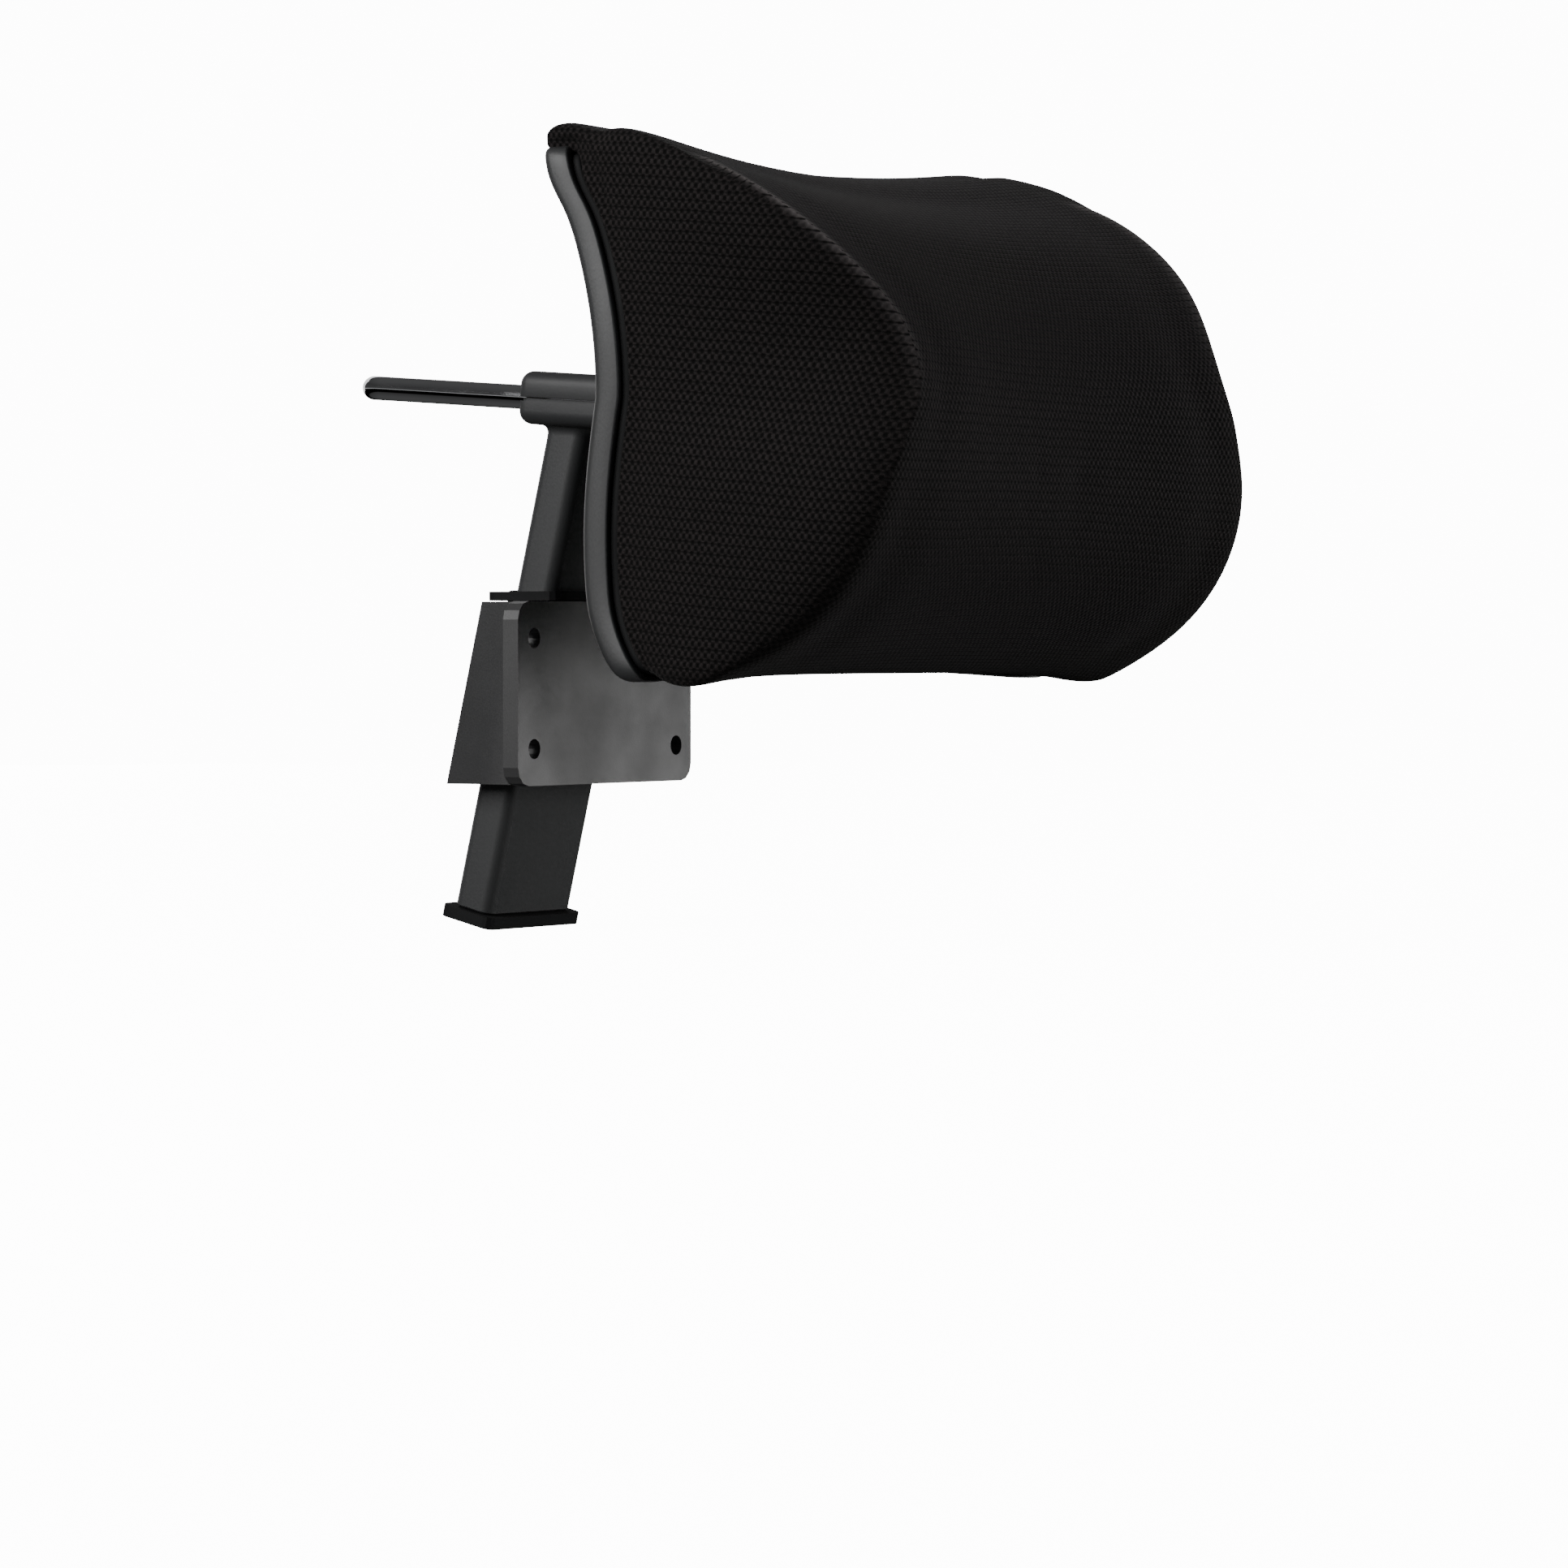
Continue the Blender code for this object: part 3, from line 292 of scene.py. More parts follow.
def knit(name):
    """Black warp knit: rows of loops with small holes, with a painted highlight, a lighter line along the upper
    ridges.
    """
    s = Shader(name, (0.012, 0.011, 0.011), 0.85)
    parts = s.node("ShaderNodeSeparateXYZ")
    s.feed(parts.inputs[0], s.place)
    x, y, z = parts.outputs
    facing = s.node("ShaderNodeSeparateXYZ")
    s.feed(facing.inputs[0], s.node("ShaderNodeTexCoord").outputs["Normal"])
    sideways = s.span(s.math("ABSOLUTE", facing.outputs[0]), 0.62, 0.74)
    drop = s.math("SUBTRACT", z, AXIS.z - WRAP_BELOW)
    ahead = s.math("SUBTRACT", AXIS.y - WRAP_AHEAD, y)
    wrapped = s.math("MULTIPLY", s.math("ARCTAN2", drop, ahead), WRAP_RADIUS)

    def wobble(amount):
        return s.math("MULTIPLY", s.math("SUBTRACT", s.noise(45, 2.0), 0.5), amount)

    def lattice(along, rows):
        shift = s.math("ADD", wobble(0.0016), s.math("MULTIPLY", rows, LOOP_LEAN))
        columns = s.math("COSINE", s.math("MULTIPLY", s.math("ADD", along, shift), 2 * pi / LOOP_WIDTH))
        lines = s.math("COSINE", s.math("MULTIPLY", s.math("ADD", rows, wobble(0.0012)), 2 * pi / ROW_HEIGHT))
        return s.math("MULTIPLY", columns, lines)

    def seams(rows):
        """0 in the thin dark line between two rows, 1 in the row."""
        wave = s.math("SINE", s.math("MULTIPLY", s.math("ADD", rows, wobble(0.0012)), pi / ROW_HEIGHT))
        return s.span(s.math("ABSOLUTE", wave), 0.05, 0.55)

    def choose(first, second):
        made = s.node("ShaderNodeMix", data_type="FLOAT")
        for socket, value in zip((0, 2, 3), (sideways, first, second)):
            s.feed(made.inputs[socket], value)
        return made.outputs[0]

    level = s.math("SUBTRACT", drop, s.math("MULTIPLY", y, ROW_SLOPE))
    far = s.span(x, 0.0, 0.06, 0.55, 1.0)
    loops = choose(s.math("MULTIPLY", lattice(x, wrapped), far), lattice(y, level))
    row = choose(seams(wrapped), seams(level))
    fuzz = s.noise(2600, 2.0)
    stray = s.noise(700, 3.0)
    yarn = s.span(loops, -0.75, 0.85)
    thread = s.math("MULTIPLY", yarn, s.span(row, 0.0, 1.0, 0.30, 1.0))
    fibres = s.math("MULTIPLY", s.span(stray, 0.25, 0.75, 0.5, 1.5), s.span(fuzz, 0.25, 0.75, 0.35, 1.65))
    tone = s.math("MULTIPLY", thread, fibres)
    # Painted highlight along the upper ridges, weighted by the crest attribute of the cushion mesh.
    crest = s.node("ShaderNodeAttribute", attribute_name="crest").outputs["Fac"]
    plain = s.mix(tone, (*HOLE_COLOUR, 1), (*YARN_COLOUR, 1))
    s.set("Base Color", s.mix(s.math("MULTIPLY", crest, row), plain, (*CREST_HIGHLIGHT_COLOUR, 1)))
    s.set("Roughness", s.span(yarn, 0.0, 1.0, 0.95, 0.75))
    height = s.math("ADD", row, s.math("MULTIPLY", fuzz, 0.25))
    height = s.math("ADD", s.math("MULTIPLY", loops, 0.6), height)
    s.bump(height, 0.6, 0.00030)
    s.bsdf.inputs["Specular IOR Level"].default_value = 0.16
    s.bsdf.inputs["Sheen Weight"].default_value = 0.035
    s.bsdf.inputs["Sheen Roughness"].default_value = 0.45
    return s.material


SHELL_PLASTIC = grained_plastic("shell_moulding", (0.030, 0.031, 0.032), (0.050, 0.051, 0.052), 0.46)
HOUSING_PLASTIC = grained_plastic("housing_moulding", (0.030, 0.031, 0.032), (0.048, 0.049, 0.050), 0.48)
INNER_PLASTIC = grained_plastic("inner_moulding", (0.004, 0.004, 0.0044), (0.010, 0.010, 0.011), 0.70,
                                1500, 0.00003)
INNER_PLASTIC.node_tree.nodes["Principled BSDF"].inputs["Specular IOR Level"].default_value = 0.2
BEARING_PLASTIC = grained_plastic("bearing_moulding", (0.30, 0.30, 0.29), (0.40, 0.40, 0.39), 0.45,
                                  1800, 0.00002)
BRACKET_PAINT = grained_plastic("bracket_paint", (0.016, 0.016, 0.017), (0.08, 0.08, 0.08), 0.42,
                                2200, 0.00004)
CHROME = plated_metal("polished_chrome", (0.50, 0.505, 0.52), 0.05)
ZINC = plated_metal("zinc_plate", (0.55, 0.56, 0.58), 0.32)
SPRING = plated_metal("spring_steel", (0.30, 0.31, 0.33), 0.28)
FABRIC = knit("knit_cover")


def foam_material():
    s = Shader("foam_block", (0.16, 0.16, 0.17), 0.95)
    s.bump(s.cells(1300, "F1"), 0.6, 0.0004)
    s.set("Base Color", s.mix(s.noise(500, 3.0), (0.12, 0.12, 0.13, 1), (0.20, 0.20, 0.21, 1)))
    return s.material


FOAM = foam_material()

NODE_MATERIALS = {
    "shell_plastic": SHELL_PLASTIC, "housing_plastic": HOUSING_PLASTIC, "inner_plastic": INNER_PLASTIC,
    "bearing_plastic": BEARING_PLASTIC, "chrome": CHROME, "zinc_steel": ZINC, "spring_steel": SPRING,
    "bracket_paint": BRACKET_PAINT, "foam": FOAM, "knit_fabric": FABRIC,
}


# Curved surfaces, in the hinge frame: x across, h above the tilt axis

HALF_WIDTH = SHELL_HIGH.x
TOP_LOWERED = 0.0012
SHELL_TOP = SHELL_HIGH.z - AXIS.z - TOP_LOWERED
SHELL_BOTTOM = AXIS.z - SHELL_LOW.z
STANDOFF = 0.0135
BOW = 0.0085
FLARE = 0.0200
HOOK = 0.0020
HOOK_AT = 0.86
HOOK_SPAN = 0.11
BELLY = 0.0045
TUCK = 0.0075
TUCK_FROM = 0.7
RIM = 0.0087
SKIN = 0.0035
TOP_DIP = 0.0065
BOTTOM_ARCH = 0.004
CORNER_POWER = 36
PLATE_SLIT = 0.0003
PLATE_THICKNESS = 0.0030
PLATE_REAR = RIM + PLATE_SLIT
PLATE_FRONT = PLATE_REAR + PLATE_THICKNESS
PLATE_INSET = 0.001
PAD_INSET = 0.0008
PAD_GAP = -0.0006  # below 0, as the cover is pressed onto the plate
PAD_CORNER_POWER = 30
SHELL_GROW = 0.0012


def side_curve(h):
    """How far the shell's middle line lies behind the plane through the hinge, at height h."""
    if h >= 0:
        rise = h / SHELL_TOP
        return FLARE * rise ** 2 + HOOK * exp(-(((rise - HOOK_AT) / HOOK_SPAN) ** 2))
    drop = -h / SHELL_BOTTOM
    return BELLY * sin(pi * min(drop, 1.0)) - TUCK * max(0.0, (drop - TUCK_FROM) / (1 - TUCK_FROM)) ** 2


def shell_rear(x, h):
    return side_curve(h) - STANDOFF - BOW * (x / HALF_WIDTH) ** 2


def outline_point(a, b, inset):
    """Point (x, h) inside the shell's outline for a and b from -1 to 1."""
    middle = 1 - a * a
    top = SHELL_TOP - TOP_DIP * middle - inset
    bottom = -SHELL_BOTTOM + BOTTOM_ARCH * middle + inset
    return a * (HALF_WIDTH - inset), bottom + (top - bottom) * (b + 1) / 2


def corner_pull(p, q, power):
    """Factor that brings a square's point onto a square with rounded corners."""
    largest = max(abs(p), abs(q))
    if largest == 0:
        return 1.0
    return largest / (abs(p) ** power + abs(q) ** power) ** (1 / power)


def spread(count, crowd=1.6):
    """Values from -1 to 1, closer together near the ends."""
    half = [1 - (1 - i / count) ** crowd for i in range(count + 1)]
    return [-value for value in reversed(half[1:])] + half


def sheet_piece(name, profile, material, columns=30, rows=26):
    """Closed curved sheet whose edge follows (inset, depth) points from the rear face to the front."""
    across, up = spread(columns), spread(rows)
    wide, tall = len(across), len(up)
    rim = ([(i, 0) for i in range(wide)] + [(wide - 1, j) for j in range(1, tall)]
           + [(i, tall - 1) for i in range(wide - 2, -1, -1)] + [(0, j) for j in range(tall - 2, 0, -1)])
    verts, faces = [], []

    def place(a, b, inset, depth):
        pull = corner_pull(a, b, CORNER_POWER)
        x, h = outline_point(a * pull, b * pull, inset)
        return x, shell_rear(x, h) - depth, h

    def grid(inset, depth):
        first = len(verts)
        verts.extend(place(a, b, inset, depth) for b in up for a in across)
        return first

    rear = grid(*profile[0])
    front = grid(*profile[-1])
    for j in range(tall - 1):
        for i in range(wide - 1):
            corner = j * wide + i
            ring = (corner, corner + 1, corner + wide + 1, corner + wide)
            faces.append([front + k for k in ring])
            faces.append([rear + k for k in reversed(ring)])
    loops = [[rear + j * wide + i for i, j in rim]]
    for inset, depth in profile[1:-1]:
        first = len(verts)
        verts.extend(place(across[i], up[j], inset, depth) for i, j in rim)
        loops.append(list(range(first, first + len(rim))))
    loops.append([front + j * wide + i for i, j in rim])
    for low, high in zip(loops, loops[1:]):
        for k in range(len(rim)):
            n = (k + 1) % len(rim)
            faces.append((low[k], low[n], high[n], high[k]))
    return from_arrays(name, verts, faces, material, HINGE_MATRIX)


def quarter(inset, depth, steps):
    """Quarter-ellipse edge from the rear face (depth 0) to the side wall (inset 0)."""
    return [(inset * (1 - sin(k * pi / 2 / steps)), depth * (1 - cos(k * pi / 2 / steps)))
            for k in range(steps + 1)]


def make_shell():
    profile = [(inset - SHELL_GROW, depth - SHELL_GROW / 2) for inset, depth in quarter(0.0022, 0.0030, 8)]
    profile += [(-SHELL_GROW, RIM - 0.0006), (0.0002 - SHELL_GROW, RIM - 0.0002), (0.0006 - SHELL_GROW, RIM)]
    profile += [(0.0030, RIM), (0.0032, RIM - 0.0002), (0.0034, SKIN)]
    shell = sheet_piece("back_shell_moulding", profile, SHELL_PLASTIC, 34, 30)
    base_low, base_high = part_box("hinge_base")
    seat_y = base_low.y - AXIS.y
    wide = base_high.x - base_low.x + 0.004
    seat = from_bmesh("seat", box_mesh((wide, 0.005, 0.034), (0, -0.0003 + seat_y - 0.0025, 0), 0.004, 1),
                      None, HINGE_MATRIX)
    carve(shell, [seat], "UNION")
    carve(shell, screw_holes())
    smooth(shell, radians(50))
    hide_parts("back_shell")
    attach(shell, "cushion")


def screw_holes():
    holes = []
    for i in range(1, 5):
        low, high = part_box(f"hinge_screw_{i}")
        centre = (low + high) / 2
        holes.append(from_bmesh(f"hole_{i}", rod_mesh(HOLE_RADIUS, 0.05, centre, 1, 24), None))
    return holes


def make_plate():
    profile = [(PLATE_INSET + 0.0003, PLATE_REAR), (PLATE_INSET, PLATE_REAR + 0.0004),
               (PLATE_INSET, PLATE_FRONT - 0.0008), (PLATE_INSET + 0.0003, PLATE_FRONT - 0.0002),
               (PLATE_INSET + 0.0009, PLATE_FRONT)]
    plate = sheet_piece("inner_plate_moulding", profile, INNER_PLASTIC, 26, 24)
    carve(plate, screw_holes())
    smooth(plate, radians(50))
    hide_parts("inner_plate")
    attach(plate, "cushion")


# Cushion

NOSE_DEPTH = 0.1183
NOSE_BASE = 0.0108
NOSE_DROP = 0.0055
NOSE_UP = 0.0882
NOSE_DOWN = 0.0845
NOSE_UP_POWER = 1.76
NOSE_DOWN_POWER = 2.8
NOSE_TAPER = 0.065
NOSE_SWEEP = radians(67)
NOSE_DIP = 0.0088
RIDGE_HALF_WIDTH = 0.120
RIDGE_PINCH = 0.023
PINCH_BASE = 2.718
PINCH_HEIGHT = 0.0135
PINCH_REACH = 0.034
CRADLE_DEPTH = 0.012
TOP_SWELL = 0.009
EAR_FILL = 0.0012
EAR_FILL_AT = 0.15
EAR_FILL_SPAN = 0.08
BOTTOM_SWELL = 0.0052
CHEEK_SWELL = 0.004
SWELL_CAP = 0.0014
SHRINK_SHARE = 0.6
EDGE_TUCK = 0.0002
LIP_BLEND = 0.26
CREST = 0.0024
CREST_WIDTH = 0.0042
# Width of the painted highlight along the front ridges.
HIGHLIGHT_WIDTH = 0.0045
VALLEY = 0.0020
VALLEY_REACH = 0.022
VALLEY_WIDTH = 0.014


def ridge_half_width(h):
    return RIDGE_HALF_WIDTH - RIDGE_PINCH * PINCH_BASE ** -(((h - PINCH_HEIGHT) / PINCH_REACH) ** 2)


def nose_point(a, up):
    angle = up * NOSE_SWEEP
    power, reach = (NOSE_UP_POWER, NOSE_UP) if up > 0 else (NOSE_DOWN_POWER, NOSE_DOWN)
    rise = abs(sin(angle)) ** (2 / power)
    depth = NOSE_DEPTH * cos(angle) ** (2 / power) * (1 if up > 0 else 1 - NOSE_TAPER * rise)
    middle = 1 - a * a
    h = -NOSE_DROP + reach * (rise if up > 0 else -rise)
    h -= NOSE_DIP * middle * max(0.0, up) ** 2
    return Vector((a * ridge_half_width(h), -NOSE_BASE - depth + CRADLE_DEPTH * middle * cos(angle), h))


LIP_START = 0.90  # the lip is the part of the cushion's rear above this share of its half height


def lip_path(a, b):
    """Rear edge of the cushion near its top: up the plate, back over the shell's top edge and round."""
    pull = corner_pull(a, 1.0, PAD_CORNER_POWER)
    x, top = outline_point(a * pull, pull, 0.0)
    plate_y = shell_rear(x, top) - PLATE_FRONT - PAD_GAP
    tail = shell_rear(x, top) + 0.0010
    under = top + 0.0006
    steps = [(0.00, plate_y, top - 0.0040), (0.22, plate_y, top - 0.0006), (0.34, plate_y + 0.0015, under),
             (0.60, tail - 0.0032, under), (0.72, tail - 0.0010, under + 0.0006),
             (0.84, tail, under + 0.0022), (1.00, tail - 0.0004, under + 0.0024)]
    t = (b - LIP_START) / (1 - LIP_START)
    for (t0, y0, h0), (t1, y1, h1) in zip(steps, steps[1:]):
        if t <= t1:
            f = (t - t0) / (t1 - t0)
            return Vector((x, y0 + (y1 - y0) * f, h0 + (h1 - h0) * f))
    return Vector((x, steps[-1][1], steps[-1][2]))


def smooth_step(value, low, high):
    t = min(1.0, max(0.0, (value - low) / (high - low)))
    return t * t * (3 - 2 * t)


def pad_point(a, d, b):
    """Cushion surface from cube coordinates: a and b from -1 to 1, d from 0 at the rear to 1 at the nose."""
    side = max(abs(a), abs(b))
    crisp = 14 + 3 * smooth_step(b, -0.2, 0.7)
    edge_pull = corner_pull(side, d, crisp)
    pull = corner_pull(a, b, PAD_CORNER_POWER) * edge_pull
    a0, b0 = a, b
    a, depth, b = a * pull, d * edge_pull, b * pull
    tuck = EDGE_TUCK * (1 - smooth_step(depth, 0.0, 0.012)) * smooth_step(max(abs(a0), -b0), 0.9, 1.0)
    x, h = outline_point(a, b, PAD_INSET + tuck)
    rear = Vector((x, shell_rear(x, h) - PLATE_FRONT - PAD_GAP, h))
    if b0 > LIP_START:
        rear = lip_path(a0, b0)
        rear.x *= (HALF_WIDTH - PAD_INSET - tuck) / HALF_WIDTH
    spot = rear.lerp(nose_point(a, b), depth)
    if b0 > LIP_START:
        x, h = outline_point(a, b, PAD_INSET)
        plain = Vector((x, shell_rear(x, h) - PLATE_FRONT - PAD_GAP, h)).lerp(nose_point(a, b), depth)
        spot = rear.lerp(plain, smooth_step(depth, 0.0, LIP_BLEND)) if depth < LIP_BLEND else plain
    spot.x += CHEEK_SWELL * 4 * depth * (1 - depth) * a ** 3
    if b > 0:
        swell = TOP_SWELL * 2.6 * sqrt(depth) * (0.84 + 0.16 * a0 ** 6)
    else:
        swell = BOTTOM_SWELL * 4 * depth * (0.25 + 0.75 * a0 ** 6)
    ear = EAR_FILL * exp(-(((depth - EAR_FILL_AT) / EAR_FILL_SPAN) ** 2)) * max(0.0, b) ** 8
    spot.z += swell * (1 - depth) * b ** 3 + ear
    return spot + ridge_relief(a0, d, b0)


def ridge_distance(a, d):
    """Rough distance in metres from a front ridge, for a and d as in pad_point."""
    return sqrt(((1 - d) * NOSE_DEPTH) ** 2 + ((1 - abs(a)) * RIDGE_HALF_WIDTH) ** 2)


def ridge_relief(a, d, b):
    """Sharp crest along each front ridge, fading downwards, with a shallow valley beside it on the front."""
    crest = CREST * exp(-((ridge_distance(a, d) / CREST_WIDTH) ** 2)) * smooth_step(b, -0.35, 0.45)
    in_front = (1 - abs(a)) * RIDGE_HALF_WIDTH
    valley = VALLEY * exp(-(((in_front - VALLEY_REACH) / VALLEY_WIDTH) ** 2)) * smooth_step(d, 0.8, 1.0)
    valley *= 1 - smooth_step(abs(b), 0.75, 1.0)
    side = 1 if a > 0 else -1
    return Vector((side * crest * 0.6, valley - crest * 0.8, 0))


def pad_grid():
    """Closed cube-like grid: verts, faces, how firmly each point is held and how much painted highlight it gets.

    A point is held (1) against the plate and the shell and free (0) elsewhere; the painted highlight lies along
    the upper ridges."""
    across = spread(34, 1.35)
    up = spread(26, 1.35)
    lip = [LIP_START, 0.915, 0.93, 0.942, 0.954, 0.966, 0.976, 0.985, 0.993, 1.0]
    up = [b for b in up if b < 0.885] + lip
    deep = [0.0, 0.006, 0.014, 0.025, 0.04, 0.06, 0.085, 0.115, 0.15]
    deep += [0.15 + 0.85 * (1 - (1 - k / 24) ** 1.3) for k in range(1, 25)]
    na, nb, nd = len(across), len(up), len(deep)
    index, verts, fixed, edge_wear_and_ridge_highlight = {}, [], [], []

    def vert(i, k, j):
        if (i, k, j) not in index:
            index[i, k, j] = len(verts)
            verts.append(pad_point(across[i], deep[k], up[j]))
            fixed.append(max(1 - smooth_step(deep[k], 0.006, 0.06),
                             smooth_step(up[j], 0.88, 0.93) * (1 - smooth_step(deep[k], 0.085, 0.2))))
            # Painted highlight weight: near each front ridge, stronger towards the top.
            near = exp(-((ridge_distance(across[i], deep[k]) / HIGHLIGHT_WIDTH) ** 2))
            edge_wear_and_ridge_highlight.append(near * smooth_step(up[j], -0.1, 0.9))
        return index[i, k, j]

    faces = []
    for j in range(nb - 1):
        for i in range(na - 1):
            for k, flip in ((0, False), (nd - 1, True)):
                quad = [vert(i, k, j), vert(i, k, j + 1), vert(i + 1, k, j + 1), vert(i + 1, k, j)]
                faces.append(quad if not flip else quad[::-1])
    for k in range(nd - 1):
        for j in range(nb - 1):
            for i, flip in ((0, False), (na - 1, True)):
                quad = [vert(i, k, j), vert(i, k + 1, j), vert(i, k + 1, j + 1), vert(i, k, j + 1)]
                faces.append(quad if not flip else quad[::-1])
        for i in range(na - 1):
            for j, flip in ((0, False), (nb - 1, True)):
                quad = [vert(i, k, j), vert(i + 1, k, j), vert(i + 1, k + 1, j), vert(i, k + 1, j)]
                faces.append(quad if not flip else quad[::-1])
    return verts, faces, fixed, edge_wear_and_ridge_highlight


def puff(item, fixed, cap):
    """Cloth simulation with inner pressure, from a slightly shrunk start; the cap limits every move."""
    count = len(item.data.vertices)
    start = np.zeros(count * 3)
    normal = np.zeros(count * 3)
    item.data.vertices.foreach_get("co", start)
    item.data.vertices.foreach_get("normal", normal)
    free = (1 - np.array(fixed)).reshape(-1, 1)
    start = start.reshape(-1, 3) - normal.reshape(-1, 3) * free * cap * SHRINK_SHARE
    item.data.vertices.foreach_set("co", start.ravel())
    item.data.update()
    group = item.vertex_groups.new(name="held")
    for i in range(count):
        if fixed[i] > 0.001:
            group.add([i], fixed[i], "REPLACE")
    cloth = item.modifiers.new("cloth", "CLOTH")
    cloth.settings.quality = 6
    cloth.settings.mass = 0.2
    cloth.settings.use_pressure = True
    cloth.settings.uniform_pressure_force = 4.0
    cloth.settings.effector_weights.gravity = 0.0
    cloth.settings.tension_stiffness = 40
    cloth.settings.compression_stiffness = 40
    cloth.settings.shear_stiffness = 20
    cloth.settings.bending_stiffness = 2.0
    cloth.settings.vertex_group_mass = "held"
    cloth.collision_settings.use_collision = False
    cloth.point_cache.frame_start = 1
    cloth.point_cache.frame_end = 20
    scene = bpy.context.scene
    for number in range(1, 21):
        scene.frame_set(number)
    evaluated = item.evaluated_get(bpy.context.evaluated_depsgraph_get())
    moved = np.zeros(count * 3)
    evaluated.data.vertices.foreach_get("co", moved)
    item.modifiers.clear()
    item.vertex_groups.clear()
    scene.frame_set(1)
    step = moved.reshape(-1, 3) - start
    length = np.linalg.norm(step, axis=1, keepdims=True)
    scale = cap * np.tanh(length / cap) / np.maximum(length, 1e-9)
    item.data.vertices.foreach_set("co", (start + step * scale).ravel())
    item.data.update()


def make_pad():
    verts, faces, fixed, edge_wear_and_ridge_highlight = pad_grid()
    pad = from_arrays("knit_covered_pad", verts, faces, FABRIC, HINGE_MATRIX)
    # The crest attribute carries the painted ridge highlight to the knit material.
    pad.data.attributes.new("crest", "FLOAT", "POINT").data.foreach_set("value", edge_wear_and_ridge_highlight)
    puff(pad, fixed, SWELL_CAP)
    finer = pad.modifiers.new("finer", "SUBSURF")
    finer.levels = 1
    finer.render_levels = 1
    bake(pad)
    pad.data.shade_smooth()
    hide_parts("fabric_cover", "foam_core")
    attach(pad, "cushion")


# Rail, clamp and post

RAIL_RADIUS = 0.004
RAIL_X = RAIL_HIGH.x - RAIL_RADIUS
BEND_RADIUS = 0.009
RAIL_END = 0.0515
RAIL_REAR = 0.0865
CLAMP_WIDTH = COVER_HIGH.x - COVER_LOW.x
CLAMP_HEIGHT = 0.0175
CLAMP_REAR = 0.0175
CLAMP_FRONT = 0.031
CLAMP_EDGE = 0.0045
REVEAL = 0.0011
SEAM = 0.0003
HEAD_HEIGHT = 0.0018
HEAD_DEPTH = 0.0006
SINK_RADIUS = 0.00305
BORE_CLEARANCE = 0.0005
BUSH_CLEARANCE = 0.0003
BUSH_SEAT_LENGTH = 0.0076
END_BEVEL = 0.0004
TAPPED_LENGTH = 0.013
STOP_SCREW_LENGTH = 0.024
SHOE_ROOM = (0.0006, 0.0106, 0.0158)  # side clearance, length and height
LEAF_ROOM = (0.001, 0.008, 0.0145)
STEM_WIDTH = 0.048
STEM_DEPTH = 0.0155
STEM_EDGE = 0.0042
FILLET_REAR = 0.0032
FILLET_SIDE = 0.0013


def make_rail():
    bend_x, bend_y = RAIL_X - BEND_RADIUS, RAIL_REAR - BEND_RADIUS
    route = [Vector((-RAIL_X, -RAIL_END + END_BEVEL, 0)), Vector((-RAIL_X, bend_y, 0))]
    for centre, start in ((-bend_x, pi), (bend_x, pi / 2)):
        for k in range(1, 17):
            angle = start - k * pi / 32
            spot = Vector((centre + BEND_RADIUS * cos(angle), bend_y + BEND_RADIUS * sin(angle), 0))
            route.append(spot)
        if centre < 0:
            route.append(Vector((bend_x, RAIL_REAR, 0)))
    route.append(Vector((RAIL_X, -RAIL_END + END_BEVEL, 0)))
    sides = 48
    verts, faces = [], []
    radii = [RAIL_RADIUS] * len(route)
    bevel = Vector((0, END_BEVEL, 0))
    route = [route[0] - bevel] + route + [route[-1] - bevel]
    radii = [RAIL_RADIUS - END_BEVEL] + radii + [RAIL_RADIUS - END_BEVEL]
    for n, (spot, radius) in enumerate(zip(route, radii)):
        before, after = route[max(n - 1, 0)], route[min(n + 1, len(route) - 1)]
        run = (after - before).normalized()
        out = Vector((run.y, -run.x, 0))
        for k in range(sides):
            angle = 2 * pi * k / sides
            verts.append(spot + out * (radius * cos(angle)) + Vector((0, 0, radius * sin(angle))))
    for n in range(len(route) - 1):
        for k in range(sides):
            m = (k + 1) % sides
            faces.append((n * sides + k, n * sides + m, (n + 1) * sides + m, (n + 1) * sides + k))
    faces.append(list(range(sides))[::-1])
    last = (len(route) - 1) * sides
    faces.append([last + k for k in range(sides)])
    rail = from_arrays("rail_tube", verts, faces, CHROME, RAIL_MATRIX)
    turn_out(rail)
    pins = []
    for side in ("left", "right"):
        low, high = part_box(f"rail_pin_{side}")
        pin = rod_mesh(HOLE_RADIUS, 0.03, (low + high) / 2, 2, 24)
        pins.append(from_bmesh(f"pin_{side}", pin, None))
    carve(rail, pins)
    smooth(rail, radians(35))
    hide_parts("rail_loop")
    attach(rail, "rail")


def turn_out(item):
    bm = bmesh.new()
    bm.from_mesh(item.data)
    bmesh.ops.recalc_face_normals(bm, faces=bm.faces)
    bm.to_mesh(item.data)
    bm.free()


def clamp_half(upper):
    length = CLAMP_REAR + CLAMP_FRONT
    bm = box_mesh((CLAMP_WIDTH, length, CLAMP_HEIGHT), (0, (CLAMP_REAR - CLAMP_FRONT) / 2, 0), CLAMP_EDGE,
                  segments=8)
    plane = SEAM / 2 if upper else -REVEAL
    bmesh.ops.bisect_plane(bm, geom=bm.verts[:] + bm.edges[:] + bm.faces[:], plane_co=(0, 0, plane),
                           plane_no=(0, 0, 1), clear_inner=upper, clear_outer=not upper)
    bmesh.ops.holes_fill(bm, edges=[e for e in bm.edges if e.is_boundary])
    bmesh.ops.recalc_face_normals(bm, faces=bm.faces)
    return bm


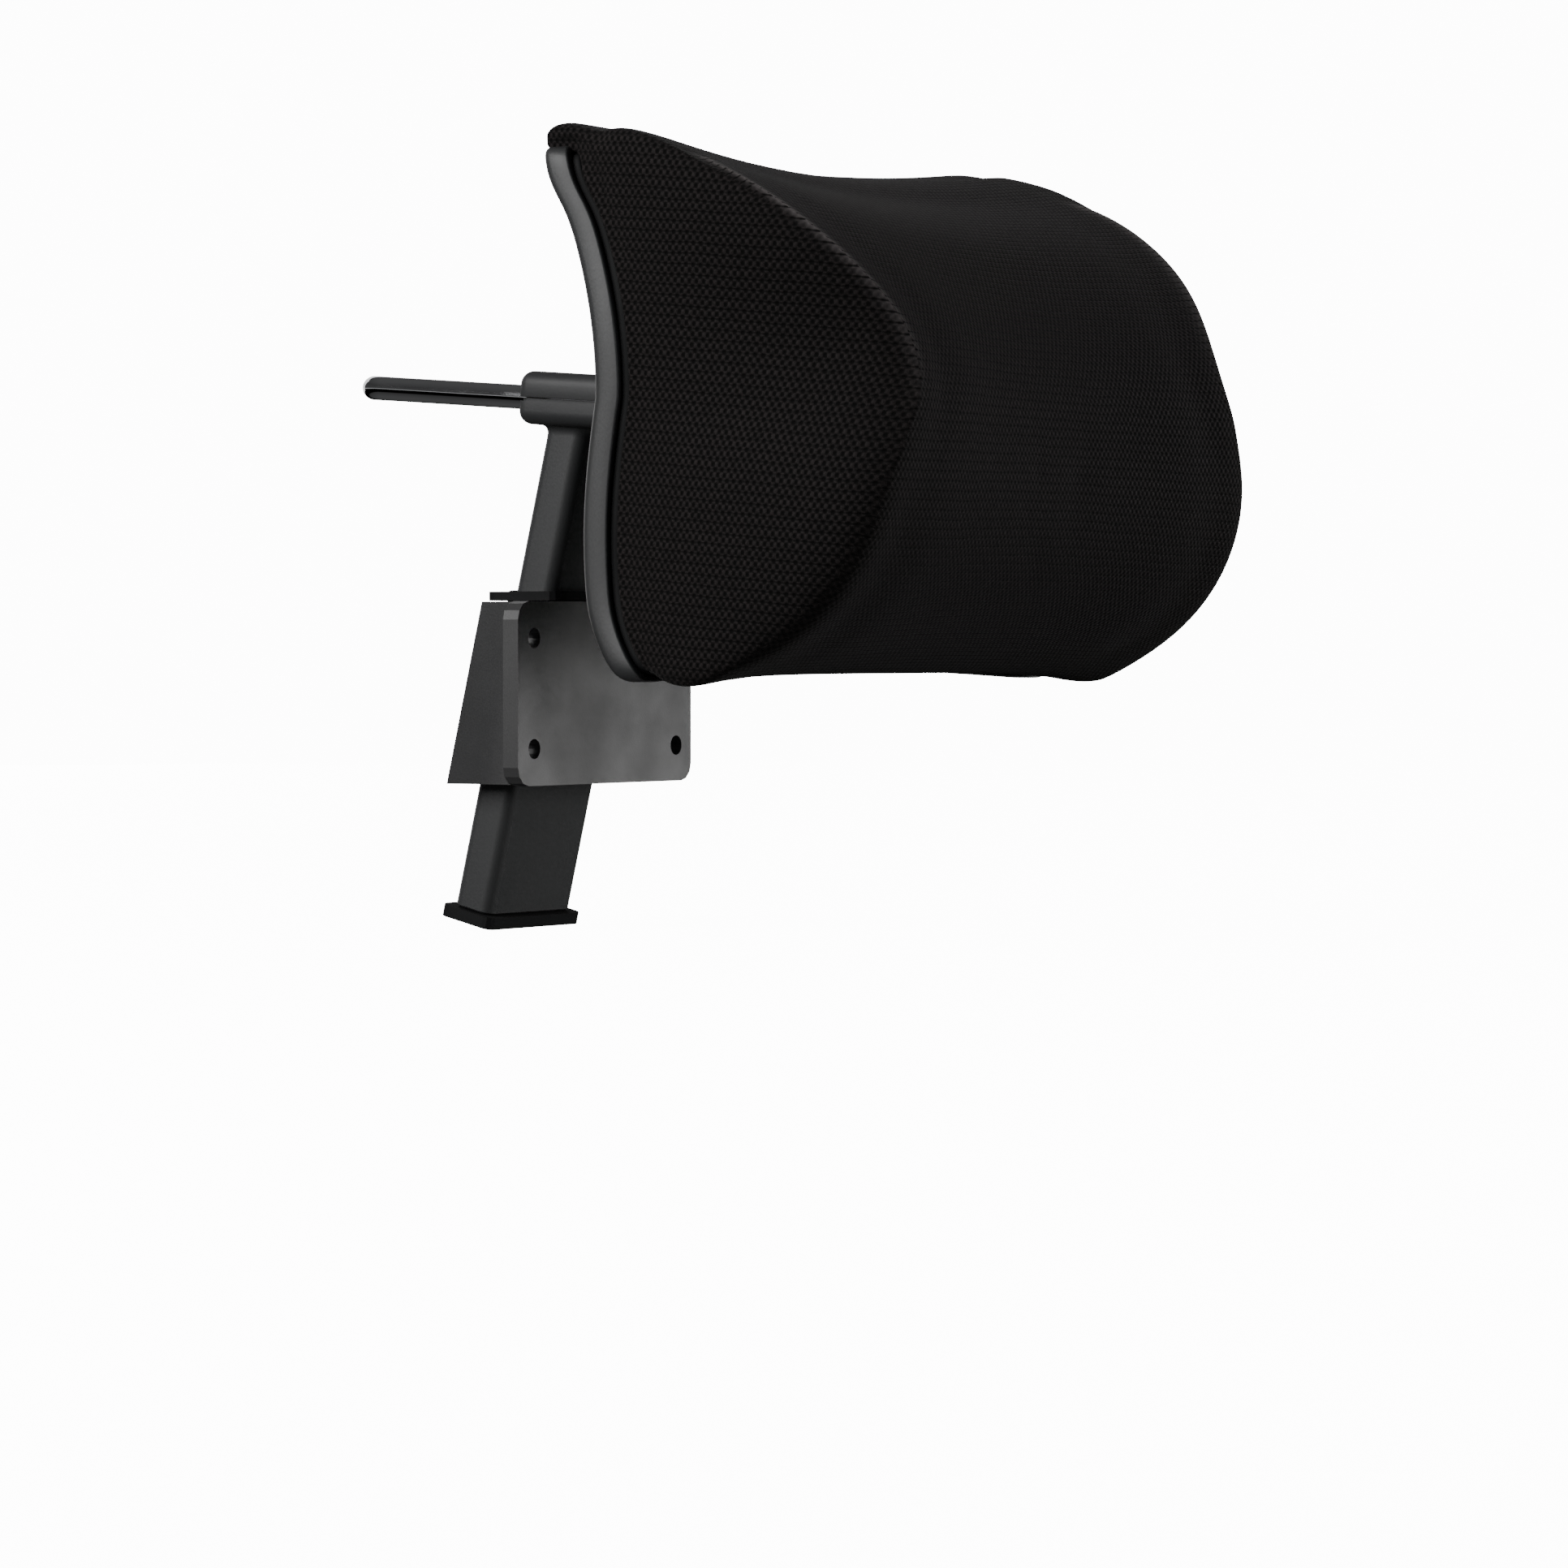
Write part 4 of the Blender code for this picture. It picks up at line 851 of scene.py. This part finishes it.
def channels(tag):
    tools = []
    length = CLAMP_REAR + CLAMP_FRONT
    for sign in (-1, 1):
        bore = rod_mesh(RAIL_RADIUS + BORE_CLEARANCE, 2 * length, (sign * RAIL_X, 0, 0), 1)
        tools.append(from_bmesh(f"{tag}_bore_{sign}", bore, None, RAIL_MATRIX))
    for side in ("left", "right"):
        for end in ("front", "rear"):
            low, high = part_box(f"rail_bush_{side}_{end}")
            centre = RAIL_MATRIX.inverted() @ ((low + high) / 2)
            seat = rod_mesh((high.x - low.x) / 2 + BUSH_CLEARANCE, BUSH_SEAT_LENGTH, centre, 1)
            tools.append(from_bmesh(f"{tag}_seat_{side}_{end}", seat, None, RAIL_MATRIX))
    return tools


def clamp_screws():
    for i in range(1, 5):
        low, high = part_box(f"clamp_screw_{i}")
        yield i, RAIL_MATRIX.inverted() @ ((low + high) / 2)


def make_cover():
    cover = from_bmesh("clamp_cover_moulding", clamp_half(True), HOUSING_PLASTIC, RAIL_MATRIX)
    tools = channels("upper")
    seat = CLAMP_HEIGHT / 2 - HEAD_HEIGHT - HEAD_DEPTH
    for i, centre in clamp_screws():
        hole = rod_mesh(HOLE_RADIUS, 2 * CLAMP_HEIGHT, (centre.x, centre.y, 0), 2, 24)
        sink = rod_mesh(SINK_RADIUS, CLAMP_HEIGHT, (centre.x, centre.y, seat + CLAMP_HEIGHT / 2), 2, 32)
        tools.append(from_bmesh(f"cover_hole_{i}", hole, None, RAIL_MATRIX))
        tools.append(from_bmesh(f"cover_sink_{i}", sink, None, RAIL_MATRIX))
    carve(cover, tools)
    soften(cover, 0.00025)
    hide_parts("clamp_cover")
    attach(cover, "stem")


def section(grow_x, grow_y, level, steps=8):
    """Rounded rectangle of the stem, grown, at a level that may depend on y."""
    half_x, half_y = STEM_WIDTH / 2 + grow_x, STEM_DEPTH / 2 + grow_y
    edge_x, edge_y = STEM_EDGE + grow_x, STEM_EDGE + grow_y
    points = []
    for sx, sy, start in ((1, 1, 0), (-1, 1, pi / 2), (-1, -1, pi), (1, -1, 3 * pi / 2)):
        for k in range(steps + 1):
            angle = start + k * pi / 2 / steps
            x = sx * (half_x - edge_x) + edge_x * cos(angle)
            y = sy * (half_y - edge_y) + edge_y * sin(angle)
            points.append(Vector((x, y, level(y))))
    return points


def loft(name, sections, material, matrix):
    verts, faces = [], []
    size = len(sections[0])
    for points in sections:
        verts.extend(points)
    for n in range(len(sections) - 1):
        for k in range(size):
            m = (k + 1) % size
            faces.append((n * size + k, n * size + m, (n + 1) * size + m, (n + 1) * size + k))
    faces.append(list(range(size))[::-1])
    faces.append([(len(sections) - 1) * size + k for k in range(size)])
    item = from_arrays(name, verts, faces, material, matrix)
    turn_out(item)
    return item


def make_post():
    to_stem = STEM_MATRIX.inverted() @ RAIL_MATRIX
    under = to_stem @ Vector((0, 0, -CLAMP_HEIGHT / 2))
    slope = to_stem.to_3x3() @ Vector((0, 1, 0))

    def clamp_plane(y):
        return under.z + (y - under.y) * slope.z / slope.y

    stop_low, stop_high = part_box("post_end_stop")
    bottom = (STEM_MATRIX.inverted() @ ((stop_low + stop_high) / 2)).z + 0.002 + SEAM
    sections = [section(-0.0005, -0.0005, lambda y: bottom), section(0, 0, lambda y: bottom + 0.0005)]
    steps = 7
    for k in range(steps + 1):
        angle = k * pi / 2 / steps
        grow = 1 - cos(angle)
        lift = FILLET_REAR * (1 - sin(angle))
        sections.append(section(FILLET_SIDE * grow, FILLET_REAR * grow,
                                lambda y, lift=lift: clamp_plane(y) - lift))
    sections.append(section(FILLET_SIDE, FILLET_REAR, lambda y: clamp_plane(y) + 0.0012))
    sections.append(section(-0.002, -0.002, lambda y: clamp_plane(y) + 0.0030))
    post = loft("post_moulding", sections, HOUSING_PLASTIC, STEM_MATRIX)
    lower = from_bmesh("lower", clamp_half(False), None, RAIL_MATRIX)
    land = box_mesh((CLAMP_WIDTH - 2 * REVEAL, CLAMP_REAR + CLAMP_FRONT - 2 * REVEAL, 2 * REVEAL),
                    (0, (CLAMP_REAR - CLAMP_FRONT) / 2, -SEAM / 2 - REVEAL), CLAMP_EDGE - REVEAL, 2)
    land = from_bmesh("land", land, None, RAIL_MATRIX)
    carve(post, [lower, land], "UNION")
    tools = channels("lower")
    for i, centre in clamp_screws():
        hole = rod_mesh(HOLE_RADIUS, TAPPED_LENGTH, (centre.x, centre.y, 0), 2, 24)
        tools.append(from_bmesh(f"post_hole_{i}", hole, None, RAIL_MATRIX))
    stop_hole = rod_mesh(HOLE_RADIUS, STOP_SCREW_LENGTH, (0, 0, bottom), 2, 24)
    tools.append(from_bmesh("tapped", stop_hole, None, STEM_MATRIX))
    shoe_low, shoe_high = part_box("rail_brake_shoe")
    leaf_low, leaf_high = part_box("rail_brake_spring")
    shoe_size = (shoe_high.x - shoe_low.x + SHOE_ROOM[0], *SHOE_ROOM[1:])
    tools.append(from_bmesh("shoe_room", box_mesh(shoe_size, (0, 0, 0)), None, RAIL_MATRIX))
    leaf_size = (leaf_high.x - leaf_low.x + LEAF_ROOM[0], *LEAF_ROOM[1:])
    tools.append(from_bmesh("leaf_room", box_mesh(leaf_size, (0, 0, -LEAF_ROOM[2] / 2)), None, RAIL_MATRIX))
    carve(post, tools)
    smooth(post, radians(30))
    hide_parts("post")
    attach(post, "stem")


def dress_nodes():
    """Material for every CAD node that stays as it is."""
    slots = {}
    for part in frame["record"]["subparts"]:
        slots[part["node"]] = part["material_slot"]
    for name, item in NODES.items():
        item.data.materials.clear()
        item.data.materials.append(NODE_MATERIALS[slots[name]])


# Stage, light and camera

STAGE_GLOW = 13.0
FLOOR_DROP = 0.0005


def make_stage():
    """Round floor that curves up into a wall; diffuse and glossy rays don't see it."""
    floor_z = CAD_LOW.z - FLOOR_DROP
    steps, sides = 20, 72
    profile = [(0.0, 0.0), (1.0, 0.0), (2.0, 0.0), (3.0, 0.0)]
    profile += [(3.0 + 2.0 * sin(k * pi / 2 / steps), 2.0 * (1 - cos(k * pi / 2 / steps)))
                for k in range(1, steps + 1)]
    profile += [(5.0, 3.5), (5.0, 6.0)]
    verts, faces = [Vector((0, 0, floor_z))], []
    for radius, height in profile[1:]:
        for k in range(sides):
            angle = 2 * pi * k / sides
            verts.append(Vector((radius * cos(angle), radius * sin(angle), floor_z + height)))
    for k in range(sides):
        faces.append((0, 1 + k, 1 + (k + 1) % sides))
    for n in range(len(profile) - 2):
        for k in range(sides):
            m = (k + 1) % sides
            low, high = 1 + n * sides, 1 + (n + 1) * sides
            faces.append((low + k, high + k, high + m, low + m))
    s = Shader("studio_white", (0.86, 0.86, 0.86), 0.9)
    s.bsdf.inputs["Emission Color"].default_value = (1, 1, 1, 1)
    s.bsdf.inputs["Emission Strength"].default_value = STAGE_GLOW
    stage = from_arrays("studio_sweep", verts, faces, s.material)
    stage.data.shade_smooth()
    stage.visible_glossy = False
    stage.visible_diffuse = False


def add_light(name, target, direction, distance, size, power, colour=(1, 1, 1)):
    data = bpy.data.lights.new(name, "AREA")
    data.shape = "RECTANGLE"
    data.size, data.size_y = size
    data.energy = power
    data.color = colour
    lamp = bpy.data.objects.new(name, data)
    bpy.context.scene.collection.objects.link(lamp)
    heading = Vector(direction).normalized()
    lamp.location = target + heading * distance
    lamp.rotation_euler = (-heading).to_track_quat("-Z", "Y").to_euler()
    return lamp


# Brightness of the surroundings from straight below (0) to straight above (1), as the object mirrors it
WORLD_STOPS = [(0.0, 0.22), (0.16, 0.14), (0.28, 0.09), (0.31, 0.002), (0.49, 0.002), (0.50, 1.3),
               (0.53, 0.13), (0.70, 0.10), (1.0, 0.20)]
WORLD_STRENGTH = 0.7


def make_light():
    world = bpy.data.worlds.new("studio")
    bpy.context.scene.world = world
    world.use_nodes = True
    tree = world.node_tree
    sky = tree.nodes["Background"]
    coords = tree.nodes.new("ShaderNodeTexCoord")
    parts = tree.nodes.new("ShaderNodeSeparateXYZ")
    tree.links.new(coords.outputs["Generated"], parts.inputs[0])
    ramp = tree.nodes.new("ShaderNodeValToRGB")
    shift = tree.nodes.new("ShaderNodeMapRange")
    shift.inputs["From Min"].default_value = -1.0
    shift.inputs["From Max"].default_value = 1.0
    tree.links.new(parts.outputs[2], shift.inputs[0])
    tree.links.new(shift.outputs[0], ramp.inputs[0])
    elements = ramp.color_ramp.elements
    while len(elements) < len(WORLD_STOPS):
        elements.new(0.5)
    for element, (spot, value) in zip(elements, WORLD_STOPS):
        element.position = spot
        element.color = (value, value, value, 1)
    tree.links.new(ramp.outputs[0], sky.inputs["Color"])
    sky.inputs["Strength"].default_value = WORLD_STRENGTH
    centre = (CAD_LOW + CAD_HIGH) / 2
    add_light("key", centre, (-1.0, 0.35, 0.50), 1.6, (1.0, 1.0), 25)
    add_light("top", centre, (-0.2, -0.2, 1.0), 1.8, (1.4, 1.4), 0.2)
    add_light("front", centre, (0.15, -1.0, 0.0), 2.4, (1.5, 1.5), 19)
    add_light("rim", centre, (1.0, -0.75, 0.1), 2.0, (0.8, 1.2), 13)
    add_light("rear", centre, (0.6, 1.0, 0.25), 2.4, (1.5, 1.5), 12)


AROUND = radians(57)
CAMERA_DISTANCE = 1.8
CAMERA_LENS = 127.6
EYE_AIM = Vector((0, -0.070, 0.0170))
LOOK_DOWN = 176 / 6850  # slope of the line of sight


def make_camera():
    """View from the left front, 57 degrees round from straight ahead and looking down 1.5 degrees."""
    heading = Vector((sin(AROUND), cos(AROUND), 0))
    data = bpy.data.cameras.new("camera")
    data.sensor_width = 36
    data.lens = CAMERA_LENS
    data.clip_end = 50
    camera = bpy.data.objects.new("camera", data)
    bpy.context.scene.collection.objects.link(camera)
    camera.location = EYE_AIM - heading * CAMERA_DISTANCE
    look = Vector((heading.x, heading.y, -LOOK_DOWN))
    camera.rotation_euler = look.to_track_quat("-Z", "Y").to_euler()
    bpy.context.scene.camera = camera


dress_nodes()
make_shell()
make_plate()
make_pad()
make_rail()
make_cover()
make_post()
make_stage()
make_light()
make_camera()
